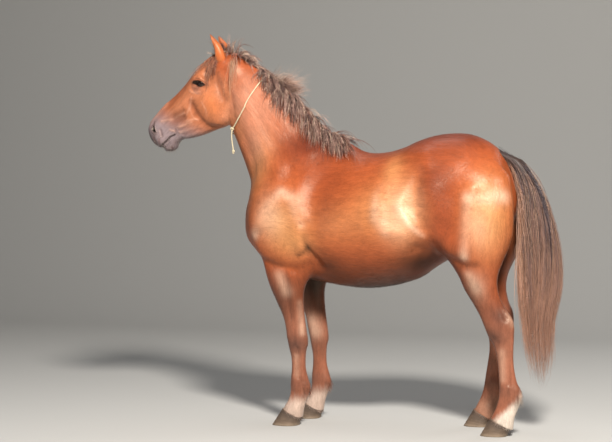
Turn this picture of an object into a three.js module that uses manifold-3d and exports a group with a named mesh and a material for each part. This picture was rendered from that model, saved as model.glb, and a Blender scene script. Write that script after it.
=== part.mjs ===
// A standing chestnut horse at life size, as a set of closed solids in millimetres.
// The horse faces -X, its left side is -Y, Z is up and its four soles stand on Z = 0.
// Each part of the body is a loft: rounded sections along an axis, with smooth curves through a few stations.
import * as THREE from "three";
import { mergeVertices } from "three/addons/utils/BufferGeometryUtils.js";
import Module from "manifold-3d";

const wasm = await Module();
wasm.setup();

// ---- Driving dimensions ----

const GAP = 0.4; // clearance between neighbouring solids
const LEFT = -1;
const RIGHT = 1;
const WITHERS_HEIGHT = 1487;
const CROUP_HEIGHT = 1519;
const BELLY_HEIGHT = 716;
const SOLE_LEVEL = 0;

// Places on the head: along its length from the poll, above its axis, and out to the side.
const EYE = { along: 188, above: -33, side: 80, radius: 22 };
const NOSTRIL = { along: 566, above: -2, side: 52, length: 10, width: 19, depth: 12 };

const EAR = {
  base: [-903, 56, 1905],
  tips: { [LEFT]: [-948, -76, 2060], [RIGHT]: [-966, 82, 2064] },
  halfWidth: 34,
  halfDepth: 23,
  wall: 7,
  // half width along the ear, from root to tip, as a share of the widest
  leaf: [[0, 0.6], [0.2, 0.9], [0.42, 1], [0.64, 0.8], [0.82, 0.46], [0.94, 0.2], [1, 0.04]],
};

const CORONET_SLOPE = 24; // degrees, down towards the heel

// The cord's loop slants from the crest to the throat (places along the neck). Its knot is on the left of the
// throat, at an angle round the neck from the right side over the crest, and its end hangs down from the knot.
const CORD = { radius: 3.5, slack: 3, crest: 664, throat: 538, droop: 1.5, knotAngle: 232, knotRadius: 10, endKnotRadius: 7 };
// The hanging end, from the middle of the knot.
const CORD_END = [[0, -3, 0], [-1, -6, -22], [0, -8, -45], [3, -9, -70], [7, -9, -95], [10, -9, -120]];

const standard = (color, roughness) => new THREE.MeshStandardMaterial({ color, roughness, metalness: 0 });
const COAT = standard(0xa4532a, 0.45);
const EAR_COAT = standard(0xa9572d, 0.6);
const MANE_HAIR = standard(0x6b4636, 0.6);
const TAIL_HAIR = standard(0x5c3d31, 0.6);
const HORN = standard(0x6f5f50, 0.5);
const EYE_DARK = standard(0x1a0f0a, 0.08);
const CORD_FIBRE = standard(0xd9c7a3, 0.85);

// ---- Stations of the lofts ----
// along: place on the loft's axis. high and low: how far the section reaches each way from the axis.
// wide: the level between them where it is widest. right and left: how far it reaches to each side there.
// roof and keel: how square the section is above and below that level (2 is an ellipse, 1 a straight slope).

const uneven = (along, high, low, wide, right, left, roof = 2, keel = 2) => ({
  along, high, low, wide, right, left, roof, keel,
});
const even = (along, high, low, wide, half, roof = 2, keel = 2) =>
  uneven(along, high, low, wide, half, -half, roof, keel);

const TRUNK = {
  frame: { origin: [0, 0, 0], axis: [1, 0, 0], up: [0, 0, 1] },
  caps: [110, 120],
  stations: [
    even(-758, 1215, 925, 1060, 145), // breast
    even(-700, 1290, 885, 1055, 180, 1.8, 2.2),
    even(-620, 1370, 838, 1040, 210, 1.7, 2.3), // point of the shoulder
    even(-520, 1440, 790, 1030, 226, 1.6, 2.3),
    even(-400, 1478, 754, 1025, 238, 1.5, 2.2),
    even(-290, WITHERS_HEIGHT, 736, 1020, 247, 1.4, 2.1),
    even(-200, 1462, 722, 1020, 261, 1.5),
    even(-90, 1423, BELLY_HEIGHT, 1020, 283, 1.75), // lowest of the back
    even(20, 1426, 727, 1025, 298, 1.95),
    even(110, 1450, 748, 1040, 300, 2.1), // loin
    even(190, 1484, 777, 1070, 290, 2.2),
    even(270, 1508, 830, 1120, 276, 2.2), // point of the hip
    even(370, CROUP_HEIGHT, 890, 1150, 270, 2.1, 2.1),
    even(450, 1514, 930, 1160, 262, 2.0, 2.2),
    even(540, 1479, 960, 1160, 240, 1.9, 2.2),
    even(620, 1424, 985, 1170, 200, 1.9, 2.2),
    even(700, 1372, 1015, 1180, 135), // root of the tail
  ],
};

const NECK = {
  frame: { origin: [-400, 0, 1200], axis: [-0.6157, 0, 0.788], up: [0.788, 0, 0.6157] },
  caps: [60, 90],
  stations: [
    even(30, 275, -400, -110, 208, 1.3),
    even(110, 268, -335, -90, 190, 1.25), // base, between the shoulders
    even(180, 255, -286, -60, 168, 1.25),
    even(250, 246, -240, -40, 148, 1.25),
    even(340, 235, -207, -20, 129, 1.3),
    even(430, 226, -181, 0, 114, 1.35),
    even(540, 211, -152, 10, 102, 1.4),
    even(640, 190, -130, 15, 95, 1.5), // throat
    even(730, 165, -115, 12, 90, 1.6),
    even(810, 133, -100, 5, 82, 1.8),
    even(890, 88, -90, 0, 70), // poll
  ],
};

const HEAD = {
  frame: { origin: [-895, 0, 1945], axis: [-0.7193, 0, -0.6947], up: [-0.6947, 0, 0.7193] },
  caps: [80, 48],
  stations: [
    even(-60, 0, -150, -70, 62),
    even(0, 28, -190, -60, 72, 2.2), // poll
    even(65, 46, -215, -60, 84, 2.4),
    even(130, 52, -242, -50, 91, 2.6, 2.2), // brow
    even(185, 56, -260, -42, 94, 2.6, 2.5), // eyes
    even(222, 57, -270, -45, 92, 2.5, 2.7),
    even(262, 56, -268, -55, 86, 2.3, 2.8), // cheek
    even(300, 57, -252, -60, 78, 2.2, 2.8),
    even(345, 58, -230, -60, 69, 2.1, 2.7),
    even(400, 63, -206, -55, 60, 2, 2.5),
    even(455, 63, -172, -45, 53, 2, 2.3), // corner of the mouth
    even(505, 61, -138, -35, 50, 2, 2.2),
    even(550, 57, -124, -35, 54, 2, 2.2), // nostrils
    even(590, 48, -114, -36, 54, 2.1, 2.2),
    even(631, 28, -100, -38, 47, 2.1, 2.2), // upper lip
  ],
};

const LOWER_LIP = {
  frame: HEAD.frame,
  caps: [60, 28],
  stations: [
    even(425, -90, -168, -125, 40),
    even(490, -94, -142, -116, 40),
    even(528, -96, -141, -118, 41),
    even(557, -98, -153, -123, 42), // chin
    even(585, -100, -146, -121, 40),
    even(610, -102, -131, -115, 33),
  ],
};

// A leg's axis runs down Z: high is the back of the leg, low the front, right its outer side.
// fullest: where it is widest, as a share of the way from front to back.
const DOWN = { origin: [0, 0, 0], axis: [0, 0, -1], up: [1, 0, 0] };
const slice = (z, front, back, outer, inner, power = 2.15, fullest = 0.5) =>
  uneven(-z, back, front, THREE.MathUtils.lerp(front, back, fullest), outer, inner, power, power);

const FORELEG = {
  caps: [90, 0],
  stations: [
    slice(1060, -640, -440, 180, 70),
    slice(980, -664, -402, 210, 60),
    slice(900, -655, -366, 223, 58), // upper arm
    slice(840, -625, -352, 219, 66), // elbow
    slice(780, -609, -372, 206, 80),
    slice(710, -583, -398, 196, 94), // forearm
    slice(630, -543, -401, 188, 106),
    slice(550, -510, -393, 182, 113),
    slice(490, -497, -385, 185, 109),
    slice(435, -485, -381, 187, 106), // knee
    slice(390, -477, -388, 181, 112),
    slice(345, -469, -391, 175, 119), // cannon
    slice(290, -468, -388, 174, 120),
    slice(245, -472, -376, 178, 116),
    slice(208, -474, -367, 182, 112), // fetlock
    slice(170, -475, -370, 179, 115),
    slice(135, -486, -384, 175, 119), // pastern
    slice(95, -508, -398, 190, 104),
    slice(30, -540, -410, 204, 90),
  ],
  cut: { point: [-500, 0, 880], down: [-0.12, 0, -1] },
  hoof: { ground: [-572, -430], coronet: [-512, -399], half: [65, 52], middle: 147, height: 92 },
};

const HINDLEG = {
  caps: [120, 0],
  stations: [
    slice(1400, 430, 650, 155, 50, 2, 0.4),
    slice(1300, 370, 686, 212, 40, 2, 0.38),
    slice(1200, 320, 703, 249, 36, 2, 0.38),
    slice(1100, 292, 711, 271, 34, 2, 0.38), // thigh
    slice(1010, 290, 708, 277, 34, 2, 0.4),
    slice(940, 318, 688, 268, 40, 2.1, 0.45), // stifle
    slice(865, 386, 655, 246, 56),
    slice(795, 432, 632, 226, 78), // gaskin
    slice(728, 462, 633, 209, 94),
    slice(660, 505, 658, 198, 106),
    slice(600, 540, 697, 194, 112),
    slice(548, 563, 714, 195, 112), // hock
    slice(500, 583, 716, 192, 114),
    slice(450, 612, 714, 186, 120),
    slice(400, 627, 713, 181, 126),
    slice(340, 635, 717, 178, 129), // cannon
    slice(280, 639, 729, 179, 128),
    slice(228, 641, 750, 184, 122), // fetlock
    slice(188, 638, 757, 182, 124),
    slice(145, 626, 741, 177, 129), // pastern
    slice(95, 603, 722, 191, 114),
    slice(30, 580, 712, 206, 98),
  ],
  cut: { point: [480, 0, 985], down: [0.22, 0, -1] },
  hoof: { ground: [545, 682], coronet: [600, 716], half: [62, 50], middle: 153, height: 92 },
};

// How far back of its stations each leg stands, as [height, distance] pairs from the ground up.
const LEGS = [
  { name: "foreleg_left", part: FORELEG, side: LEFT, stance: [[0, 0], [1100, 0]] },
  { name: "foreleg_right", part: FORELEG, side: RIGHT, stance: [[0, 12], [1100, 12]] },
  { name: "hindleg_left", part: HINDLEG, side: LEFT, stance: [[0, 0], [1400, 0]] },
  {
    name: "hindleg_right",
    part: HINDLEG,
    side: RIGHT,
    stance: [[0, -165], [220, -153], [420, -108], [560, -68], [800, -18], [1000, 0], [1400, 0]],
  },
];

const TAIL = {
  frame: DOWN,
  caps: [8, 60],
  stations: [
    slice(1440, 560, 604, 22, -22, 2),
    slice(1420, 562, 640, 34, -34, 2),
    slice(1403, 570, 690, 42, -42, 2),
    slice(1386, 590, 738, 48, -48, 2), // dock
    slice(1352, 625, 771, 56, -56, 2),
    slice(1290, 668, 802, 63, -63, 2),
    slice(1200, 700, 840, 70, -70, 2),
    slice(1090, 702, 876, 78, -78, 2),
    slice(960, 704, 909, 86, -86, 2),
    slice(820, 700, 925, 88, -88, 2),
    slice(690, 704, 914, 84, -84, 2),
    slice(575, 724, 884, 74, -74, 2),
    slice(450, 738, 880, 62, -62, 2),
    slice(330, 762, 871, 46, -46, 2),
    slice(232, 786, 848, 26, -26, 2), // tip
  ],
};

// The mane stands on the crest and lies down the left side of the neck.
const MANE = {
  frame: NECK.frame,
  caps: [60, 40],
  stations: [
    uneven(66, 264, 206, 228, 4, -62),
    uneven(112, 262, 150, 180, 14, -104, 1.5),
    uneven(184, 261, 112, 140, 16, -112, 1.4),
    uneven(250, 257, 86, 114, 18, -110, 1.3),
    uneven(340, 252, 62, 90, 19, -110, 1.35),
    uneven(430, 254, 66, 94, 20, -102, 1.4),
    uneven(524, 277, 90, 118, 22, -87, 1.5), // where the hair stands highest
    uneven(595, 258, 106, 132, 22, -74, 1.5),
    uneven(660, 218, 114, 136, 22, -64, 1.6),
    uneven(730, 194, 110, 132, 22, -60, 1.7),
    uneven(797, 165, 94, 114, 22, -58, 1.8),
    uneven(862, 130, 66, 84, 20, -52),
  ],
};

// The forelock is a sheet of hair over the brow: how thick, and its outline seen square to the brow.
const FORELOCK = {
  thickness: 8,
  outline: [[-22, -44], [40, -62], [120, -84], [205, -90], [232, -76], [168, -40], [100, -12], [40, 18], [-22, 26]],
};

// Muscles and hollows laid along a short line: [from, to, radius, height], mirrored on the other side.
const SWELLS = [
  [[-560, 150, 1330], [-620, 190, 1060], 90, 12], // shoulder blade and point of the shoulder
  [[-470, 170, 1330], [-500, 215, 1120], 60, -7], // groove behind the shoulder blade's spine
  [[-430, 210, 1120], [-400, 222, 960], 80, 14], // triceps
  [[-330, 210, 1240], [-300, 235, 1060], 70, -8], // behind the shoulder
  [[-330, 190, 840], [-300, 200, 900], 45, -10], // behind the elbow
  [[255, 215, 1418], [262, 240, 1376], 48, 13], // point of the hip
  [[165, 262, 1330], [190, 280, 1150], 75, -15], // hollow of the flank
  [[300, 262, 1230], [345, 268, 1010], 60, 9], // front of the thigh
  [[540, 235, 1320], [600, 225, 1120], 80, 9], // back of the thigh
  [[-180, 280, 1000], [40, 300, 980], 150, 8], // ribs
];

// The same on the head: [along, above, side] of each end.
const HEAD_SWELLS = [
  [[225, -150, 74], [255, -190, 74], 58, 10], // cheek
  [[330, -52, 68], [215, -60, 68], 22, 6], // crest of the cheekbone
  [[150, 6, 92], [196, 16, 92], 26, 10], // arch over the eye
  [[120, -22, 92], [130, -40, 92], 22, -7], // hollow over the eye
  [[540, 2, 52], [572, -22, 52], 22, 8], // rim of the nostril
];

// ---- Curves and frames ----

// A smooth curve through [place, value] pairs: cubic pieces whose slope at a pair comes from its two neighbours.
function smoothThrough(pairs) {
  const last = pairs.length - 1;
  const rise = (i) => (pairs[i + 1][1] - pairs[i][1]) / (pairs[i + 1][0] - pairs[i][0]);
  const slope = (i) => {
    if (i === 0) return rise(0);
    if (i === last) return rise(last - 1);
    const before = pairs[i][0] - pairs[i - 1][0];
    const after = pairs[i + 1][0] - pairs[i][0];
    return (rise(i - 1) * after + rise(i) * before) / (before + after);
  };
  return (place) => {
    const x = THREE.MathUtils.clamp(place, pairs[0][0], pairs[last][0]);
    let i = 0;
    while (i < last - 1 && x > pairs[i + 1][0]) i++;
    const span = pairs[i + 1][0] - pairs[i][0];
    const s = (x - pairs[i][0]) / span;
    const [a, b] = [pairs[i][1], pairs[i + 1][1]];
    const [p, q] = [slope(i) * span, slope(i + 1) * span];
    return a + s * (p + s * (3 * (b - a) - 2 * p - q + s * (2 * (a - b) + p + q)));
  };
}

function inFrame({ origin, axis, up }, along, above, side) {
  const [x, y, z] = [0, 1, 2].map((k) => origin[k] + axis[k] * along + up[k] * above);
  return [x, y + side, z];
}

const onHead = ([along, above, side], face = RIGHT) => inFrame(HEAD.frame, along, above, face * side);

// ---- Lofts ----

const SECTION_KEYS = ["high", "low", "wide", "right", "left", "roof", "keel"];

// The section of a loft at any place on its axis, thicker all round by grow.
function sectionsOf({ stations, caps }, grow) {
  const curve = Object.fromEntries(
    SECTION_KEYS.map((key) => [key, smoothThrough(stations.map((station) => [station.along, station[key]]))]),
  );
  const start = stations[0].along - grow;
  const end = stations[stations.length - 1].along + grow;
  const rounding = (distance, cap) => (distance < cap ? Math.sqrt(1 - (1 - distance / cap) ** 2) : 1);
  const point = (along, turn) => {
    const [across, upward] = [Math.cos(turn), Math.sin(turn)];
    const power = 2 / (upward > 0 ? curve.roof(along) : curve.keel(along));
    const shrink = rounding(Math.max(along - start, 0), caps[0]) * rounding(Math.max(end - along, 0), caps[1]);
    const middle = (curve.right(along) + curve.left(along)) / 2;
    const half = (curve.right(along) - curve.left(along)) / 2 + grow;
    const wide = curve.wide(along);
    const reach = upward > 0 ? curve.high(along) + grow - wide : wide - curve.low(along) + grow;
    return {
      above: wide + shrink * reach * Math.sign(upward) * Math.abs(upward) ** power,
      side: middle + shrink * half * Math.sign(across) * Math.abs(across) ** power,
    };
  };
  return { start, end, caps, point };
}

// Rings of a loft: one at each station clear of the rounded ends, and a few closer together in those ends.
function ringPlaces({ stations }, { start, end, caps }) {
  const CAP_RINGS = 3;
  const inCap = (cap) =>
    cap ? Array.from({ length: CAP_RINGS }, (_, i) => cap * (1 - Math.cos(((i + 1) * Math.PI) / 2 / (CAP_RINGS + 1)))) : [];
  const between = stations.map(({ along }) => along).filter((along) => along > start + caps[0] * 0.8 && along < end - caps[1] * 0.8);
  return [
    ...inCap(caps[0]).map((distance) => start + distance),
    ...(caps[0] ? [] : [start]),
    ...between,
    ...(caps[1] ? [] : [end]),
    ...inCap(caps[1]).reverse().map((distance) => end - distance),
  ];
}

// The closed surface of a loft as a solid. offset moves the section at each place towards its high side.
function loft(part, { around, face = RIGHT, offset = () => 0, grow = 0, swells = [] }) {
  const sections = sectionsOf(part, grow);
  const places = ringPlaces(part, sections);
  const positions = [];
  const indices = [];
  const add = (along, above, side) =>
    positions.push(...inFrame(part.frame, along, above + offset(along), face * side)) / 3 - 1;
  for (const along of places)
    for (let j = 0; j < around; j++) {
      const { above, side } = sections.point(along, (2 * Math.PI * (j + 0.5)) / around);
      add(along, above, side);
    }
  const middle = (along) => {
    const [a, b] = [sections.point(along, 0), sections.point(along, Math.PI)];
    return add(along, a.above, (a.side + b.side) / 2);
  };
  const first = middle(sections.start);
  const final = middle(sections.end);
  closeRings(indices, places.length, around, first, final);
  return solid(swell(geometryOf(positions, indices), swells));
}

// Triangles between rings of points, and fans that close the first and last ring on a point each.
function closeRings(indices, rings, around, first, final) {
  for (let j = 0; j < around; j++) {
    const k = (j + 1) % around;
    const top = (rings - 1) * around;
    indices.push(first, k, j, final, top + j, top + k);
    for (let a = 0; a < top; a += around)
      indices.push(a + j, a + k, a + around + j, a + k, a + around + k, a + around + j);
  }
}

function geometryOf(positions, indices) {
  return new THREE.BufferGeometry()
    .setAttribute("position", new THREE.Float32BufferAttribute(positions, 3))
    .setIndex(indices);
}

// Moves each vertex along its normal by every swell that reaches it: height * exp(-(distance / radius)^2).
function swell(geometry, swells) {
  if (!swells.length) return geometry;
  geometry.computeVertexNormals();
  const place = geometry.getAttribute("position");
  const normal = geometry.getAttribute("normal");
  const outward = Math.sign(volumeOf(geometry));
  const [p, n, near] = [0, 1, 2].map(() => new THREE.Vector3());
  for (let i = 0; i < place.count; i++) {
    p.fromBufferAttribute(place, i);
    n.fromBufferAttribute(normal, i);
    let rise = 0;
    for (const [from, to, radius, height] of swells)
      for (const side of [LEFT, RIGHT]) {
        const ends = [from, to].map(([x, y, z]) => new THREE.Vector3(x, side * y, z));
        new THREE.Line3(...ends).closestPointToPoint(p, true, near);
        rise += height * Math.exp(-((near.distanceTo(p) / radius) ** 2));
      }
    p.addScaledVector(n, rise * outward);
    place.setXYZ(i, p.x, p.y, p.z);
  }
  return geometry;
}

// Six times the signed volume inside a closed surface is the sum of its triangles' triple products.
function volumeOf(geometry) {
  const place = geometry.getAttribute("position");
  const index = geometry.index.array;
  const corners = [0, 1, 2].map(() => new THREE.Vector3());
  let sum = 0;
  for (let i = 0; i < index.length; i += 3) {
    corners.forEach((corner, k) => corner.fromBufferAttribute(place, index[i + k]));
    sum += corners[0].dot(corners[1].clone().cross(corners[2]));
  }
  return sum / 6;
}

// ---- Solids ----

function solid(geometry) {
  for (const name of ["normal", "uv"]) geometry.deleteAttribute(name);
  const merged = mergeVertices(geometry, 1e-3);
  const triVerts = new Uint32Array(merged.index.array);
  if (volumeOf(merged) < 0)
    for (let i = 0; i < triVerts.length; i += 3) [triVerts[i], triVerts[i + 1]] = [triVerts[i + 1], triVerts[i]];
  const vertProperties = merged.getAttribute("position").array;
  return new wasm.Manifold(new wasm.Mesh({ numProp: 3, vertProperties, triVerts }));
}

function meshOf(name, shape, material) {
  const { vertProperties, triVerts } = shape.getMesh();
  const geometry = geometryOf(Array.from(vertProperties), Array.from(triVerts));
  geometry.computeVertexNormals();
  const mesh = new THREE.Mesh(geometry, material);
  mesh.name = name;
  return mesh;
}

const joined = (shapes) => shapes.reduce((a, b) => a.add(b));

// All the space on one side of a plane, as a box far larger than the horse.
function beyond(point, direction) {
  const SIZE = 4000;
  const normal = new THREE.Vector3(...direction).normalize();
  const box = new THREE.BoxGeometry(SIZE, SIZE, SIZE);
  box.applyQuaternion(new THREE.Quaternion().setFromUnitVectors(new THREE.Vector3(0, 0, 1), normal));
  box.translate(...new THREE.Vector3(...point).addScaledVector(normal, SIZE / 2).toArray());
  return solid(box);
}

const shifted = (point, direction, distance) => {
  const step = new THREE.Vector3(...direction).normalize().multiplyScalar(distance);
  return step.add(new THREE.Vector3(...point)).toArray();
};

// Space beyond a plane, and the same with the clearance added on this side of it.
const cutAt = (point, direction) => ({
  beyond: beyond(point, direction),
  cleared: beyond(shifted(point, direction, -GAP), direction),
});

// An ellipsoid with its half axes along the head's own directions.
function headEllipsoid({ along, above, side }, [long, high, wide], face) {
  const { axis, up } = HEAD.frame;
  const ball = new THREE.SphereGeometry(1, 10, 6);
  ball.applyMatrix4(
    new THREE.Matrix4()
      .makeBasis(
        new THREE.Vector3(...axis).multiplyScalar(long),
        new THREE.Vector3(...up).multiplyScalar(high),
        new THREE.Vector3(0, wide, 0),
      )
      .setPosition(...onHead([along, above, side], face)),
  );
  return solid(ball);
}

// ---- Body ----

function trunkNeckHead(grow) {
  const swells = SWELLS;
  const headSwells = HEAD_SWELLS.map(([from, to, radius, height]) => [onHead(from), onHead(to), radius, height]);
  return joined([
    loft(TRUNK, { around: 22, grow, swells }),
    loft(NECK, { around: 18, grow, swells }),
    loft(HEAD, { around: 20, grow, swells: headSwells }),
    loft(LOWER_LIP, { around: 10, grow }),
  ]);
}

const offsetOf = ({ stance }) => {
  const back = smoothThrough(stance);
  return (along) => back(-along);
};

function wholeLeg(leg, grow) {
  const stations = { ...leg.part, frame: DOWN };
  return loft(stations, { around: 12, face: leg.side, offset: offsetOf(leg), grow, swells: SWELLS });
}

function hoofOf({ part, side, stance }) {
  const { ground, coronet, half, middle, height } = part.hoof;
  const level = (z, share, power) => {
    const [front, back, wide] = [0, 1, 2].map((k) =>
      THREE.MathUtils.lerp([...ground, half[0]][k], [...coronet, half[1]][k], share),
    );
    return slice(z, front, back, middle + wide, middle - wide, power);
  };
  const wall = {
    frame: DOWN,
    caps: [0, 0],
    stations: [level(height, 1, 2.2), level(height / 2, 0.5, 2.3), level(SOLE_LEVEL, 0, 2.4)],
  };
  return loft(wall, { around: 14, face: side, offset: offsetOf({ stance }) });
}

// The plane where horn meets hair, sloping down to the heel.
function coronetOf({ part, stance }) {
  const slope = THREE.MathUtils.degToRad(CORONET_SLOPE);
  return {
    point: [part.hoof.coronet[0] + stance[0][1], 0, part.hoof.height - 8],
    up: [Math.sin(slope), 0, Math.cos(slope)],
  };
}

const nodes = [];
let body = trunkNeckHead(0);
let bodyCleared = trunkNeckHead(GAP);
for (const leg of LEGS) {
  body = body.add(wholeLeg(leg, 0));
  bodyCleared = bodyCleared.add(wholeLeg(leg, GAP));
}
for (const leg of LEGS) {
  const top = cutAt(leg.part.cut.point, leg.part.cut.down);
  const { point, up } = coronetOf(leg);
  const ownSide = beyond([0, leg.side * GAP, 0], [0, leg.side, 0]);
  const shank = wholeLeg(leg, 0).intersect(top.beyond).intersect(beyond(shifted(point, up, GAP), up)).intersect(ownSide);
  const horn = hoofOf(leg).intersect(beyond(point, up.map((v) => -v)));
  nodes.push(meshOf(leg.name, shank, COAT), meshOf(leg.name.replace("leg", "hoof"), horn, HORN));
  body = body.subtract(wholeLeg(leg, GAP).intersect(top.cleared));
}

// ---- Head, neck and trunk, parted across the throat and in front of the withers ----

const ABOVE_BREAST = beyond([0, 0, 1400], [0, 0, 1]);
const headCut = cutAt([-853, 0, 1500], [-1, 0, 0.02]);
const neckCut = cutAt([-300, 0, 1495], [-0.56, 0, 0.83]);
let head = body.intersect(headCut.beyond).intersect(ABOVE_BREAST);
body = body.subtract(headCut.cleared.intersect(ABOVE_BREAST));
const neck = body.intersect(neckCut.beyond);
const trunk = body.subtract(neckCut.cleared);

// ---- Eyes and ears ----

const eyeball = (side, grow = 0) => headEllipsoid(EYE, Array(3).fill(EYE.radius + grow), side);

// An ear is a leaf-shaped shell round an upright axis, open towards the front and outside.
function ear(side, { grow = 0, hollow = true } = {}) {
  const tip = new THREE.Vector3(...EAR.tips[side]);
  const base = new THREE.Vector3(EAR.base[0], side * EAR.base[1], EAR.base[2]);
  const axis = tip.clone().sub(base).normalize();
  const length = tip.distanceTo(base);
  const opening = new THREE.Vector3(-0.96, side * 0.28, 0).projectOnPlane(axis).normalize();
  const across = new THREE.Vector3().crossVectors(axis, opening);
  const width = smoothThrough(EAR.leaf);
  const RINGS = 7;
  const AROUND = 10;
  const leaf = ({ from, to, thinner, forward }) => {
    const positions = [];
    const indices = [];
    const add = (share, half, depth, turn) => {
      const p = base.clone();
      p.addScaledVector(axis, length * THREE.MathUtils.lerp(from, to, share));
      p.addScaledVector(across, half * Math.cos(turn));
      p.addScaledVector(opening, forward + depth * Math.sin(turn));
      return positions.push(...p.toArray()) / 3 - 1;
    };
    for (let i = 0; i <= RINGS; i++) {
      const share = i / RINGS;
      const half = Math.max(EAR.halfWidth * width(share) - thinner, 0.6) + grow;
      const depth = Math.max(EAR.halfDepth * width(share) - thinner * 0.6, 0.6) + grow;
      for (let j = 0; j < AROUND; j++) add(share, half, depth, (2 * Math.PI * j) / AROUND);
    }
    closeRings(indices, RINGS + 1, AROUND, add(0, 0, 0, 0), add(1, 0, 0, 0));
    return solid(geometryOf(positions, indices));
  };
  const outside = leaf({ from: -0.02, to: 1, thinner: 0, forward: 0 });
  const scoop = { from: 0.16, to: 0.96, thinner: EAR.wall, forward: EAR.halfDepth * 0.62 };
  return hollow ? outside.subtract(leaf(scoop)) : outside;
}

const earsCleared = joined([LEFT, RIGHT].map((side) => ear(side, { grow: GAP, hollow: false })));
for (const [word, side] of [["left", LEFT], ["right", RIGHT]]) {
  nodes.push(meshOf("eye_" + word, eyeball(side), EYE_DARK), meshOf("ear_" + word, ear(side), EAR_COAT));
  const nostril = headEllipsoid(NOSTRIL, [NOSTRIL.length, NOSTRIL.width, NOSTRIL.depth], side);
  head = head.subtract(eyeball(side, GAP)).subtract(nostril);
}
head = head.subtract(earsCleared);
nodes.push(meshOf("head", head, COAT), meshOf("neck", neck, COAT), meshOf("trunk", trunk, COAT));

// ---- The cord round the neck ----

// A point of the neck's own section, lifted clear of it, on the slant from the crest down to the throat.
function onCord(turn, lift) {
  const along = THREE.MathUtils.lerp(CORD.throat, CORD.crest, ((1 + Math.sin(turn)) / 2) ** CORD.droop);
  const { above, side } = sectionsOf(NECK, lift).point(along, turn);
  return inFrame(NECK.frame, along, above, side);
}

function cordLoop(grow) {
  const POINTS = 20;
  const points = Array.from({ length: POINTS }, (_, i) => onCord((2 * Math.PI * i) / POINTS, CORD.radius + CORD.slack));
  const path = new THREE.CatmullRomCurve3(points.map((p) => new THREE.Vector3(...p)), true);
  return solid(new THREE.TubeGeometry(path, 40, CORD.radius + grow, 8, true));
}

function lump(place, radius, stretch) {
  const ball = new THREE.SphereGeometry(radius, 8, 6).scale(1, 1, stretch);
  return solid(ball.translate(...place));
}

function cordTube(route) {
  const path = new THREE.CatmullRomCurve3(route.map((p) => new THREE.Vector3(...p)));
  const section = new THREE.Shape().absarc(0, 0, CORD.radius, 0, 2 * Math.PI);
  return solid(new THREE.ExtrudeGeometry(section, { extrudePath: path, steps: 10, curveSegments: 4 }));
}

const knotPlace = onCord(THREE.MathUtils.degToRad(CORD.knotAngle), CORD.knotRadius + CORD.slack);
const endRoute = CORD_END.map((step) => step.map((value, k) => value + knotPlace[k]));
const knot = (grow) => lump(knotPlace, CORD.knotRadius + grow, 1.25);
const endKnot = (grow) => lump(endRoute[endRoute.length - 1], CORD.endKnotRadius + grow, 1.6);
const hanging = cordTube(endRoute).subtract(knot(GAP)).subtract(endKnot(GAP));
nodes.push(meshOf("neck_cord", cordLoop(0).subtract(knot(GAP)), CORD_FIBRE));
nodes.push(meshOf("cord_knot", knot(0), CORD_FIBRE));
nodes.push(meshOf("cord_end", hanging, CORD_FIBRE));
nodes.push(meshOf("cord_end_knot", endKnot(0), CORD_FIBRE));

// ---- Hair ----

const taken = joined([bodyCleared, earsCleared, cordLoop(GAP)]);

function forelock() {
  const { thickness, outline } = FORELOCK;
  const corner = ([along, side]) => new THREE.Vector2(along, side);
  const sheet = new THREE.ExtrudeGeometry(new THREE.Shape(outline.map(corner)), { depth: 160, bevelEnabled: false });
  const { origin, axis, up } = HEAD.frame;
  const [a, b, c] = [axis, [0, 1, 0], up].map((v) => new THREE.Vector3(...v));
  sheet.translate(0, 0, -60).applyMatrix4(new THREE.Matrix4().makeBasis(a, b, c).setPosition(...origin));
  return loft(HEAD, { around: 24, grow: thickness }).intersect(solid(sheet));
}

nodes.push(meshOf("forelock", forelock().subtract(taken), MANE_HAIR));
nodes.push(meshOf("mane", loft(MANE, { around: 14 }).subtract(taken), MANE_HAIR));
nodes.push(meshOf("tail", loft(TAIL, { around: 12 }).subtract(taken), TAIL_HAIR));

// ---- The whole horse, centred over its box on the ground ----

const horse = new THREE.Group();
horse.name = "horse";
horse.add(...nodes);
const centre = new THREE.Box3().setFromObject(horse).getCenter(new THREE.Vector3());
horse.position.set(-centre.x, -centre.y, 0);

export default horse;
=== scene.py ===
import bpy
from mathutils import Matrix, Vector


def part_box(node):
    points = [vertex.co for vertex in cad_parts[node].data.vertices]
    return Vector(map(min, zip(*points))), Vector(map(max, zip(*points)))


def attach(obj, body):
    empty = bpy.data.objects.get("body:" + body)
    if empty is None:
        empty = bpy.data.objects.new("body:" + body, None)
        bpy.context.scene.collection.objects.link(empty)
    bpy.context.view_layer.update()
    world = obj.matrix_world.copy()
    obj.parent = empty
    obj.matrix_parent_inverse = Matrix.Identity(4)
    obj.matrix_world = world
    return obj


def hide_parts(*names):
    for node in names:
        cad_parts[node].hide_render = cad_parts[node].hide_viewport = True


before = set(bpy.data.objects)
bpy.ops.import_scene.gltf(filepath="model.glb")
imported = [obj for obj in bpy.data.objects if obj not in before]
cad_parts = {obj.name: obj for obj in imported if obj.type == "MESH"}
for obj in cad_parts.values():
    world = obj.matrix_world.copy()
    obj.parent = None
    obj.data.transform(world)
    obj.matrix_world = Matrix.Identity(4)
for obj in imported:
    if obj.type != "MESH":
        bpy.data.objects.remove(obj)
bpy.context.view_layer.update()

import math

import bmesh
import bpy
import numpy as np
import openvdb
from mathutils import Vector

# The horse faces -X, its left side is -Y and Z is up. Shapes are worked out in the horse's own frame, in
# metres, and moved to the row's frame by SHIFT as each piece is made. The tables below are in millimetres.
MM = 0.001
COAT_DEPTH = 0.0015
LEFT, RIGHT = -1, 1
random = np.random.default_rng(11)
uniform, gauss = random.uniform, random.normal


# ---- stations of the lofts

def even(along, high, low, wide, half, roof=2.0, keel=2.0):
    return (along, high, low, wide, half, -half, roof, keel)


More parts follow.
